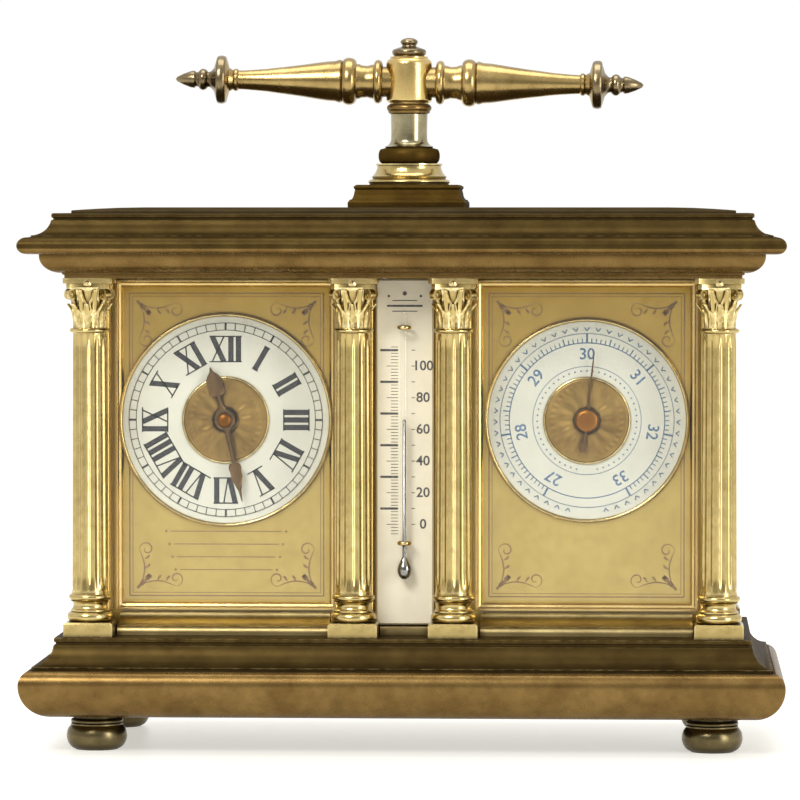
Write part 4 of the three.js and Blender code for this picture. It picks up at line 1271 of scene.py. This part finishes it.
def build_handle():
    low, high = span("handle_plinth")
    half, bottom, top = (high[0] - low[0]) / 2, low[2], high[2]
    profile = (
        [(0, bottom - SEAT), (0, bottom + 0.9), (0.35, bottom + 1.15), (0.35, bottom + 1.4)]
        + arc(0.5, bottom + 3.2, 0.9, 1.8, 285, 350, 8)
        + [(1.6, top - 1.1), (1.3, top - 0.8), (1.3, top - 0.35), (1.9, top)]
    )
    skin = lofted([rectangle(half - inset, half - inset, z) for inset, z in profile])
    piece = make_piece("handle_plinth_fine", *skin, DARK, "case", "dark_brass", smooth=25, bevel=0.12)
    banded(piece, (top - 0.1, top + 1, ROOF))
    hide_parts("handle_plinth")

    low, high = span("handle_collar")
    radius, bottom, top = (high[0] - low[0]) / 2, low[2], high[2] + SEAT - 0.05
    profile = (
        [(0, bottom - SEAT), (radius - 0.3, bottom - SEAT)]
        + arc(radius - 0.45, bottom + 0.45, 0.45, 0.45, 300, 430, 8)
        + [(radius - 1.0, bottom + 1.0)] + arc(radius + 0.3, top - 0.4, 2.3, 2.8, 245, 182, 10)
        + [(radius - 1.7, top - 0.35), (radius - 1.7, top), (0, top)]
    )
    piece = make_piece("handle_collar_fine", *turned(profile, 72), GILT, "case", "gilt", smooth=35)
    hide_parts("handle_collar")

    low, high = span("handle_post")
    bottom, top = low[2], high[2]
    profile = (
        [(0, bottom), (6.2, bottom)] + arc(6.3, bottom + 1.7, 0.7, 1.6, 285, 435, 14)
        + [(5.4, bottom + 3.5), (5.4, bottom + 3.8)] + arc(5.9, bottom + 5.6, 1.75, 1.8, 262, 185, 8)
        + [(4.1, bottom + 7.0), (4.2, top - 2.3), (4.7, top - 2.0)]
        + arc(4.6, top - 0.9, 0.5, 0.7, 290, 430, 8)
        + [(4.5, top), (0, top)]
    )
    piece = make_piece("handle_post_fine", *turned(profile, 72), POST, "handle", "dark_brass", smooth=35)
    banded(piece, (bottom - 1, bottom + 3.7, DARK), (top - 2.2, top + 1, AGED))
    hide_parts("handle_post")

    low, high = span("handle_hub")
    bottom, top = low[2], high[2]
    profile = (
        [(0, bottom - SEAT), (4.3, bottom - SEAT)] + arc(4.4, bottom + 0.8, 0.8, 0.8, 270, 360, 6)
        + arc(4.4, top - 1.8, 0.8, 1.2, 0, 70, 8) + [(4.3, top - 0.4), (4.3, top), (0, top)]
    )
    piece = make_piece("handle_hub_fine", *turned(profile, 72), SLIP, "handle", "gilt", smooth=35)
    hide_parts("handle_hub")

    low, high = span("handle_cap")
    bottom, top = low[2], high[2]
    profile = (
        [(0, bottom - SEAT), (3.4, bottom - SEAT)] + arc(3.4, bottom + 0.7, 0.5, 0.7, 280, 430, 8)
        + [(2.6, bottom + 1.7), (1.7, bottom + 2.0), (1.6, bottom + 2.2)]
        + arc(0, bottom + 3.0, 2.0, 1.0, 325, 440, 10) + [(0, top)]
    )
    piece = make_piece("handle_cap_fine", *turned(profile, 48), TIP, "handle", "gilt", smooth=40)
    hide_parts("handle_cap")

    arm = (
        [(0, 3.6), (3.4, 3.6), (3.5, 6.0)] + arc(4.0, 7.1, 1.0, 0.95, 270, 450, 10)
        + [(3.9, 8.3), (3.8, 8.9), (3.6, 9.5), (3.7, 10.8), (4.0, 11.5), (4.0, 12.0)]
        + arc(4.3, 13.7, 1.1, 1.6, 285, 435, 12)
        + [
            (4.9, 15.6), (4.9, 16.0), (4.6, 16.9), (4.5, 18.6), (4.15, 21.1), (3.7, 24.0), (3.3, 26.9),
            (2.95, 29.8)
        ]
        + [
            (2.6, 32.5), (2.35, 35.3), (2.2, 37.5), (2.15, 38.9), (2.55, 39.3), (2.55, 39.8), (2.2, 40.2),
            (2.7, 41.1)
        ]
        + [(5.1, 41.8)] + arc(5.1, 42.9, 0.4, 1.0, 290, 430, 8) + [(2.7, 44.6), (1.9, 45.3), (1.7, 45.8)]
        + arc(1.1, 47.1, 1.35, 1.2, 300, 420, 8)
        + [(1.6, 48.6), (2.0, 49.1), (1.85, 50.0), (1.25, 51.6), (0.55, 53.0), (0, 53.4)]
    )
    lean = turn(0.85, "Y")
    for side, degrees in (("left", -90), ("right", 90)):
        form = moved(turned(arm, 72), shift(z=HANDLE_AXIS_Z) @ lean @ turn(degrees, "Y"))
        # the arms take the darker gilt, a painted shade
        piece = make_piece(f"handle_arm_{side}_fine", *form, SHADED_HANDLE_GILT, "handle", "gilt", smooth=35)
        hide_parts(f"handle_arm_{side}")
        piece.data.materials.append(TIP)
        for polygon in piece.data.polygons:
            if abs(polygon.center.x) > 41.5 * MM:
                polygon.material_index = 1


# ---------- clock movement ----------


def screw_head(radius, height):
    """A cheese head with a real slot, standing on z = 0: a foot with two half discs on it."""
    slot, foot = radius * 0.15, height * 0.4
    forms = [turned([(0, 0), (radius, 0), (radius, foot), (0, foot)], 32)]
    for side in (0, 180):
        def half_disc(size, z):
            reach = math.degrees(math.acos(slot / size))
            return [(x, y, z) for x, y in arc(0, 0, size, size, side - reach, side + reach, 16)]
        forms.append(lofted([
            half_disc(radius, foot - 0.05), half_disc(radius, height * 0.8), half_disc(radius * 0.86, height),
        ]))
    return together(*forms)


def screws(name, places, radius, height, matrix, body, material=BLUED):
    """Slotted screws at places (x, y, z), each with its slot turned differently."""
    forms = []
    for index, place in enumerate(places):
        forms.append(moved(screw_head(radius, height), shift(*place) @ matrix @ turn(37 + 71 * index, "Z")))
    make_piece(name, *together(*forms), material, body, "steel", smooth=30)


def toothed_ring(teeth, tip, depth, inner, low, high, lean=0.0):
    """A toothed rim round Z. lean, from 0 to 1, turns pointed teeth into a ratchet's."""
    outline = []
    pitch = 2 * math.pi / teeth
    for i in range(teeth):
        flat, rise = (0.0, 0.92 * lean) if lean else (0.0, 0.0)
        corners = (
            [(flat, tip - depth), (rise, tip)] if lean
            else [(0.0, tip - depth), (0.28, tip - depth), (0.46, tip), (0.82, tip)]
        )
        outline += [(radius, (i + share) * pitch) for share, radius in corners]
    count = len(outline)
    vertices = []
    for z in (low, high):
        vertices += [(r * math.cos(a), r * math.sin(a), z) for r, a in outline]
        vertices += [(inner * math.cos(a), inner * math.sin(a), z) for _, a in outline]
    faces = []
    for i in range(count):
        j = (i + 1) % count
        faces.append((i, j, j + 2 * count, i + 2 * count))
        faces.append((i + count, i + 3 * count, j + 3 * count, j + count))
        faces.append((i + 2 * count, j + 2 * count, j + 3 * count, i + 3 * count))
        faces.append((i, i + count, j + count, j))
    return vertices, faces


def crossed_wheel(teeth, tip, depth, hub, bore, low, high, spokes=5):
    """A clock wheel: a toothed rim, tapering crossings and a hub."""
    rim = tip - depth - 1.1
    forms = [toothed_ring(teeth, tip, depth, rim, low, high)]
    forms.append(turned_ring([(bore, low), (hub, low), (hub, high), (bore, high)], 48))
    middle = (low + high) / 2
    half = (high - low) / 2 * 0.92
    for i in range(spokes):
        inner, outer = (0.75, 0.5)
        spoke = lofted([
            [(hub - 0.3, -inner, z), (rim + 0.3, -outer, z), (rim + 0.3, outer, z), (hub - 0.3, inner, z)]
            for z in (middle - half, middle + half)
        ])
        forms.append(moved(spoke, turn(360 / spokes * i, "Z")))
    return together(*forms)


FACING_REAR = turn(-90, "X")  # a form drawn round +Z comes to face +Y


def square_end(half, start, end):
    """The square of an arbor, with its corners and end chamfered."""
    chamfer = half * 0.25
    def ring(size, z):
        cut = size - chamfer
        corners = [
            (size, -cut), (size, cut), (cut, size), (-cut, size), (-size, cut), (-size, -cut), (-cut, -size)
        ]
        return [(x, y, z) for x, y in corners + [(cut, -size)]]
    return lofted([ring(half, start), ring(half, end - 0.3), ring(half - 0.25, end)])


def build_train():
    x, _, z = centre("centre_arbor")
    arbor_low, arbor_high = span("centre_arbor")
    centre_arbor = together(
        turned(
            [(0, arbor_low[1]), (1.2, arbor_low[1]), (1.2, -16.5), (0.98, -16.4), (0.98, -7.3), (0, -7.3)],
            32
        ),
        turned([(0, -7.4), (1.45, -7.4), (1.45, 5.9), (1.1, 6.3), (1.45, 6.7), (1.45, 10.3), (0, 10.4)], 32),
        square_end(1.0, 10.2, arbor_high[1]),
    )
    piece = make_piece(
        "centre_arbor_fine", *moved(centre_arbor, shift(x, 0, z) @ FACING_REAR), STEEL, "minute_work",
        "steel", smooth=35,
    )
    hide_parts("centre_arbor")

    low, high = span("centre_wheel")
    wheel = crossed_wheel(64, (high[0] - low[0]) / 2, 0.75, 3.2, 1.75, low[1], high[1])
    piece = make_piece(
        "centre_wheel_fine", *moved(wheel, shift(x, 0, z) @ FACING_REAR), MOVEMENT, "minute_work",
        "movement_brass", smooth=30,
    )
    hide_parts("centre_wheel")

    low, high = span("third_wheel")
    tx, _, tz = centre("third_wheel")
    third = together(
        crossed_wheel(56, (high[0] - low[0]) / 2, 0.65, 2.0, 1.0, 4.3, 5.1, spokes=4),
        turned([(0, low[1]), (0.6, low[1]), (0.6, -6.0), (1.2, -5.9),
                (1.2, 3.4), (0.9, 3.5), (1.2, 3.6), (1.2, 5.6),
                (0.6, 5.7), (0.6, high[1]), (0, high[1])], 24),
    )
    piece = make_piece(
        "third_wheel_fine", *moved(third, shift(tx, 0, tz) @ FACING_REAR), MOVEMENT, "third_wheel",
        "movement_brass", smooth=30,
    )
    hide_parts("third_wheel")

    low, high = span("mainspring_barrel")
    bx, _, bz = centre("mainspring_barrel")
    drum = turned_ring([
        (2.65, low[1] + 0.5), (4.6, low[1] + 0.5), (5.0, low[1] + 0.9), (11.6, low[1] + 0.9),
        (12.0, low[1] + 0.3),
        (12.9, low[1]), (13.3, low[1]), (13.5, low[1] + 0.2), (13.5, -3.9), (13.3, -3.8), (13.3, -3.4),
        (13.5, -3.3),
        (13.5, 3.5), (2.65, 4.6),
    ], 96)
    great = toothed_ring(84, (high[0] - low[0]) / 2, 0.95, 2.65, 3.4, high[1])
    piece = make_piece(
        "mainspring_barrel_fine", *moved(together(drum, great), shift(bx, 0, bz) @ FACING_REAR), MOVEMENT,
        "barrel",
        "movement_brass", smooth=30,
    )
    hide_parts("mainspring_barrel")

    low, high = span("winding_arbor")
    winding = together(
        turned([(0, low[1]), (1.95, low[1]), (1.95, 10.2), (0, 10.4)], 32),
        toothed_ring(24, (high[0] - low[0]) / 2, 0.95, 1.8, 8.95, 9.95, lean=1.0),
        turned_ring([(1.8, 9.9), (3.4, 9.9), (3.2, 10.25), (1.8, 10.25)], 48),
        square_end(1.5, 10.0, high[1]),
    )
    piece = make_piece(
        "winding_arbor_fine", *moved(winding, shift(bx, 0, bz) @ FACING_REAR), STEEL, "winding_arbor",
        "steel", smooth=30,
    )
    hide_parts("winding_arbor")


def build_back_plate_work():
    """Click, spring, bushes and screws on the movement's rear plate."""
    _, high = span("movement_back_plate")
    face = high[1]
    pillars = [centre(f"movement_pillar_{i}") for i in (1, 2, 3, 4)]
    screws("movement_pillar_screws", [(x, face, z) for x, _, z in pillars], 2.3, 1.3, FACING_REAR, "case")
    washers = [
        moved(
            turned([(0, 0), (3.1, 0), (3.1, 0.25), (2.9, 0.4), (0, 0.4)], 32),
            shift(x, face - 0.1, z) @ FACING_REAR
        )
        for x, _, z in pillars
    ]
    tx, _, tz = centre("third_wheel")
    cx, _, cz = centre("centre_arbor")
    bushes = [
        moved(turned_ring([(inner, -0.1), (outer, -0.1), (outer, 0.2),
                           (outer - 0.2, 0.35), (inner + 0.2, 0.35), (inner, 0.2)]),
              shift(x, face, z) @ FACING_REAR)
        for x, z, inner, outer in ((cx, cz, 2.2, 3.6), (tx, tz, 0.9, 2.0))
    ]
    make_piece("movement_bushes", *together(*washers, *bushes), GILT, "case", "movement_brass", smooth=35)

    bx, _, bz = centre("winding_arbor")
    pivot = (bx - 10.2, bz + 3.6)
    click = [
        (pivot[0] - 1.7, pivot[1] + 0.6), (pivot[0] - 1.3, pivot[1] - 1.4), (bx - 7.6, bz + 0.1),
        (bx - 6.5, bz + 0.2),
        (bx - 6.6, bz + 1.3), (pivot[0] + 1.5, pivot[1] + 0.9), (pivot[0] + 0.2, pivot[1] + 1.8),
    ]
    form = lofted([[(x, y, z) for x, z in click] for y in (face + 1.4, face + 0.35)])
    make_piece("click", *form, STEEL, "case", "steel", smooth=30, bevel=0.15)
    screws("click_screw", [(pivot[0], face + 1.4, pivot[1])], 1.5, 0.9, FACING_REAR, "case")
    inner = arc(pivot[0] + 3.4, pivot[1] + 4.2, 6.6, 6.6, 216, 150, 14)
    outer = arc(pivot[0] + 3.4, pivot[1] + 4.2, 6.95, 6.95, 150, 216, 14)
    blade = lofted([[(x, y, z) for x, z in inner + outer] for y in (face + 1.2, face + 0.3)])
    root_x, root_z = outer[0][0] + 0.4, outer[0][1] + 0.6
    root = lofted([
        [
            (x, y, z) for x, z in reversed(arc(root_x, root_z, 1.9, 1.9, 0, 330, 11))
        ] for y in (face, face + 1.2)
    ])
    make_piece("click_spring", *together(blade, root), BLUED, "case", "steel", smooth=35)
    screws("click_spring_screw", [(root_x, face + 1.2, root_z)], 1.2, 0.8, FACING_REAR, "case", STEEL)


def build_escapement():
    """Balance with its rim screws and spring, and the jewel, index and screws on its cock."""
    low, high = span("balance_wheel")
    x, y, _ = centre("balance_wheel")
    rim_low = low[2] + 1.6
    radius = (high[0] - low[0]) / 2
    forms = [
        turned_ring([(radius - 1.1, rim_low), (radius - 0.15, rim_low),
                     (radius, rim_low + 0.15), (radius, rim_low + 0.95),
                     (radius - 0.15, rim_low + 1.1), (radius - 1.1, rim_low + 1.1)], 96),
        block((-radius + 0.8, radius - 0.8), (-0.6, 0.6), (rim_low + 0.25, rim_low + 0.85)),
        turned([(0, low[2]), (0.25, low[2]), (0.35, low[2] + 0.8), (0.6, low[2] + 0.9),
                (0.6, rim_low + 0.2), (1.6, rim_low + 0.2),
                (1.6, rim_low + 1.0), (0.9, rim_low + 1.1), (0.9, rim_low + 2.0), (0.35, rim_low + 2.1),
                (0.25, high[2]),
                (0, high[2])], 32),
    ]
    piece = make_piece(
        "balance_wheel_fine", *moved(together(*forms), shift(x, y)), GILT, "balance", "gilt", smooth=35
    )
    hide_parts("balance_wheel")
    pins = []
    for i in range(14):
        pin = moved(
            turned([(0, 0), (0.32, 0), (0.32, 0.25), (0.42, 0.3), (0.42, 0.6), (0, 0.65)], 12),
            turn(90, "Y")
        )
        pins.append(moved(pin, turn(360 / 14 * (i + 0.5), "Z") @ shift(radius - 0.05, 0, rim_low + 0.55)))
    make_piece(
        "balance_rim_screws", *moved(together(*pins), shift(x, y)), STEEL, "balance", "gilt", smooth=40
    )

    coils, steps, height = 6, 216, 0.35
    rings = []
    for i in range(steps + 1):
        angle = 2 * math.pi * coils * i / steps
        r = 0.95 + 3.0 * i / steps
        z = rim_low + 1.5
        rings.append([
            (radial * math.cos(angle), radial * math.sin(angle), level)
            for radial, level in ((r, z), (r + 0.09, z), (r + 0.09, z + height), (r, z + height))
        ])
    make_piece("balance_spring", *moved(lofted(rings), shift(x, y)), BLUED, "balance", "gilt", smooth=40)

    low, high = span("balance_platform")
    top = high[2]
    setting = turned_ring([(0.6, 0), (1.45, 0), (1.35, 0.35), (0.6, 0.25)], 48)
    make_piece("jewel_setting", *moved(setting, shift(x, y, top)), GILT, "case", "gilt", smooth=35)
    stone = turned([(0, 0), (0.62, 0), (0.55, 0.2), (0.2, 0.3), (0, 0.22)], 32)
    make_piece("balance_jewel", *moved(stone, shift(x, y, top)), JEWEL, "case", "glass", smooth=35)
    index = together(
        turned_ring([(1.5, 0.02), (2.05, 0.02), (2.05, 0.3), (1.5, 0.3)], 48),
        moved(lofted([
            [(1.9, -0.5, z), (7.4, -0.16, z), (7.4, 0.16, z), (1.9, 0.5, z)] for z in (0.02, 0.3)
        ]), turn(24, "Z")),
    )
    make_piece("regulator_index", *moved(index, shift(x, y, top)), STEEL, "case", "steel", smooth=35)
    cock_screw = (x + 9.5, y, top)
    screws("cock_screw", [cock_screw], 1.25, 0.8, Matrix(), "case")
    deck = low[2] + 1.5
    corners = [(cx, cy, deck) for cx in (low[0] + 2, high[0] - 2) for cy in (low[1] + 2.2, high[1] - 2.2)]
    screws("platform_screws", corners, 1.35, 0.9, Matrix(), "case")
    make_piece("platform_jewels", *together(*[
        moved(turned([(0, 0), (0.9, 0), (0.8, 0.2), (0.3, 0.28), (0, 0.2)], 24), shift(jx, jy, deck))
        for jx, jy in ((x + 8.2, y - 5.0), (x + 13.5, y + 4.2))
    ]), JEWEL, "case", "glass", smooth=35)


def build_aneroid():
    """The corrugated vacuum capsule, with the post that pulls on its middle."""
    low, high = span("aneroid_capsule")
    x, _, z = centre("aneroid_capsule")
    radius = (high[0] - low[0]) / 2
    crest = -low[1] - 1.2
    waves = [
        (
            r, crest - 0.3 - 0.32 * math.cos((r - 3.2) * 2 * math.pi / 2.3)
        ) for r in (3.2 + 0.23 * i for i in range(51))
    ]
    profile = (
        [(0, -high[1]), (radius, -high[1]), (radius, -high[1] + 1.6), (radius - 0.35, -high[1] + 1.9)]
        + [(radius - 0.35, 0.0), (radius, 0.3), (radius, crest - 0.2), (radius - 0.4, crest)]
        + list(reversed(waves)) + [(3.0, crest), (3.0, -low[1]), (0, -low[1])]
    )
    form = moved(turned(profile, 96), shift(x, 0, z) @ FACING_FRONT)
    piece = make_piece("aneroid_capsule_fine", *form, NICKEL, "case", "nickel", smooth=35)
    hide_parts("aneroid_capsule")


# ---------- back of the case ----------


def rear_strokes(name, strokes, face, body, slot):
    """Engraved lines on a face that looks towards +Y, drawn as seen from behind."""
    form = moved(flat_strokes([[(-x, z) for x, z in stroke] for stroke in strokes], 0.03), turn(180, "Z"))
    make_piece(name, *moved(form, shift(y=face)), WAX, body, slot, smooth=20)


def build_back():
    low, high = span("rear_door_frame")
    bar = 5.5
    x, z = (low[0] + 2, high[0]), (low[2], high[2])
    rings = []
    window_x, window_z = (x[0] + bar - 2, x[1] - bar), (z[0] + bar, z[1] - bar)
    section = [(-0.05, -1.1), (-0.05, 0), (0.15, 0.12), (0.5, 0.15), (0.8, -0.1), (0.95, -0.5), (0.95, -1.1)]
    for inset, lift in section:
        x0, x1 = window_x[0] + inset, window_x[1] - inset
        z0, z1 = window_z[0] + inset, window_z[1] - inset
        rings.append(
            [
                (x0, high[1] + lift, z0), (x0, high[1] + lift, z1), (x1, high[1] + lift, z1),
                (x1, high[1] + lift, z0)
            ]
        )
    make_piece("rear_door_bead", *framed(rings), SLIP, "rear_door", "gilt", smooth=30, bevel=0.05)
    rear_strokes(
        "rear_door_engraving",
        frame_lines((x[0] + 0.3, x[1]), z, 1.1, 0.16) + frame_lines(window_x, window_z, -1.5, 0.16),
        high[1] + 0.005, "rear_door", "gilt",
    )
    hinge_x, hinge_y = low[0] + 2, high[1] - 2
    rings = [
        moved(
            turned_ring([(1.6, -0.35), (2.15, -0.35), (2.25, 0), (2.15, 0.35), (1.6, 0.35)], 40),
            shift(hinge_x, hinge_y, height)
        )
        for height in (low[2] + 1.2, low[2] + 7.5, low[2] + 9.0, high[2] - 9.0, high[2] - 7.5, high[2] - 1.2)
    ]
    make_piece("rear_door_knuckles", *together(*rings), GILT, "rear_door", "gilt", smooth=35)

    low, high = span("rear_door_knob")
    x, _, z = centre("rear_door_knob")
    start, end = low[1], high[1]
    profile = (
        [(0, start), (1.9, start), (1.9, start + 0.3), (1.2, start + 0.6)]
        + arc(2.4, start + 1.9, 1.35, 1.3, 250, 165, 8)
        + arc(0, end - 2.2, 2.6, 2.1, 335, 447, 16) + [(0, end)]
    )
    piece = make_piece(
        "rear_door_knob_fine", *moved(turned(profile, 48), shift(x, 0, z) @ FACING_REAR), GILT, "rear_door",
        "gilt", smooth=35,
    )
    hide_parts("rear_door_knob")

    low, high = span("barometer_back_plate")
    face = high[1]
    inset = 3.4
    heights = (low[2] + inset, (low[2] + high[2]) / 2, high[2] - inset)
    places = [(px, face, pz) for px in (low[0] + inset, high[0] - inset) for pz in heights]
    screws("back_plate_screws", places, 1.7, 1.0, FACING_REAR, "case")
    ax, _, az = centre("barometer_adjuster")
    collar = turned_ring([(3.25, -0.2), (5.4, -0.2), (5.4, 0.25), (5.1, 0.55), (3.7, 0.55), (3.25, 0.2)], 72)
    make_piece(
        "adjuster_collar", *moved(collar, shift(ax, face, az) @ FACING_REAR), GILT, "case", "gilt",
        smooth=35
    )
    strokes = frame_lines((low[0], high[0]), (low[2], high[2]), 1.2, 0.16)
    strokes += frame_lines((low[0], high[0]), (low[2], high[2]), 6.2, 0.28)
    strokes += frame_lines((low[0], high[0]), (low[2], high[2]), 6.9, 0.12)
    for radius, width in ((7.2, 0.14), (7.8, 0.28), (12.0, 0.14)):
        strokes += [[(ax + u, az + v) for u, v in stroke] for stroke in circle_line(radius, width, 72)]
    for sign in (-1, 1):
        path = [
            (
                ax + sign * 9.8 * math.sin(a), az + 9.8 * math.cos(a)
            ) for a in (math.radians(12 + 6 * i) for i in range(9))
        ]
        strokes += [line(*a, *b, 0.3) for a, b in zip(path, path[1:])]
        tip, before = path[-1], path[-3]
        dx, dz = tip[0] - before[0], tip[1] - before[1]
        strokes.append(arrow_head(tip[0] + dx * 0.4, tip[1] + dz * 0.4, dx, dz, 1.0))
    rear_strokes("back_plate_engraving", strokes, face + 0.005, "case", "satin_gilt")


def arrow_head(x, z, dx, dz, size):
    """A triangle with its point at x, z that looks along dx, dz."""
    length = math.hypot(dx, dz)
    dx, dz = dx / length * size, dz / length * size
    return [
        (x, z), (x - 1.6 * dx - 0.7 * dz, z - 1.6 * dz + 0.7 * dx),
        (x - 1.6 * dx + 0.7 * dz, z - 1.6 * dz - 0.7 * dx)
    ]


# ---------- what stays from the CAD ----------

KEPT = {
    "centre_panel": (SATIN, 0.1), "mask_left": (SATIN, 0.1), "mask_right": (SATIN, 0.1),
    "glass_front_left": (GLASS, 0), "glass_front_right": (GLASS, 0),
    "glass_side_left": (GLASS, 0), "glass_side_right": (GLASS, 0), "rear_door_glass": (GLASS, 0),
    "movement_front_plate": (MOVEMENT, 0.15), "movement_back_plate": (MOVEMENT, 0.15),
    "movement_pillar_1": (MOVEMENT, 0.1), "movement_pillar_2": (MOVEMENT, 0.1),
    "movement_pillar_3": (MOVEMENT, 0.1), "movement_pillar_4": (MOVEMENT, 0.1),
    "balance_platform": (MOVEMENT, 0.12), "aneroid_frame": (MOVEMENT, 0.1),
    "barometer_adjuster": (STEEL, 0.05), "rear_door_frame": (GILT, 0.25),
    "rear_door_pivot_lower": (STEEL, 0), "rear_door_pivot_upper": (STEEL, 0),
    "barometer_back_plate": (SATIN, 0.12),
}


def dress_kept_nodes():
    for name, (material, bevel) in KEPT.items():
        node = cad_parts[name]
        if not node.material_slots:
            node.data.materials.append(material)
        for entry in node.material_slots:
            entry.link = "OBJECT"
            entry.material = material
        if bevel:
            soften(node, bevel)


build_stage()
build_light()
build_camera()
build_feet()
build_base()
build_cornice()
build_columns()
build_clock_dial()
build_barometer_dial()
build_panels()
build_thermometer()
build_hands()
build_handle()
build_train()
build_back_plate_work()
build_escapement()
build_aneroid()
build_back()
dress_kept_nodes()
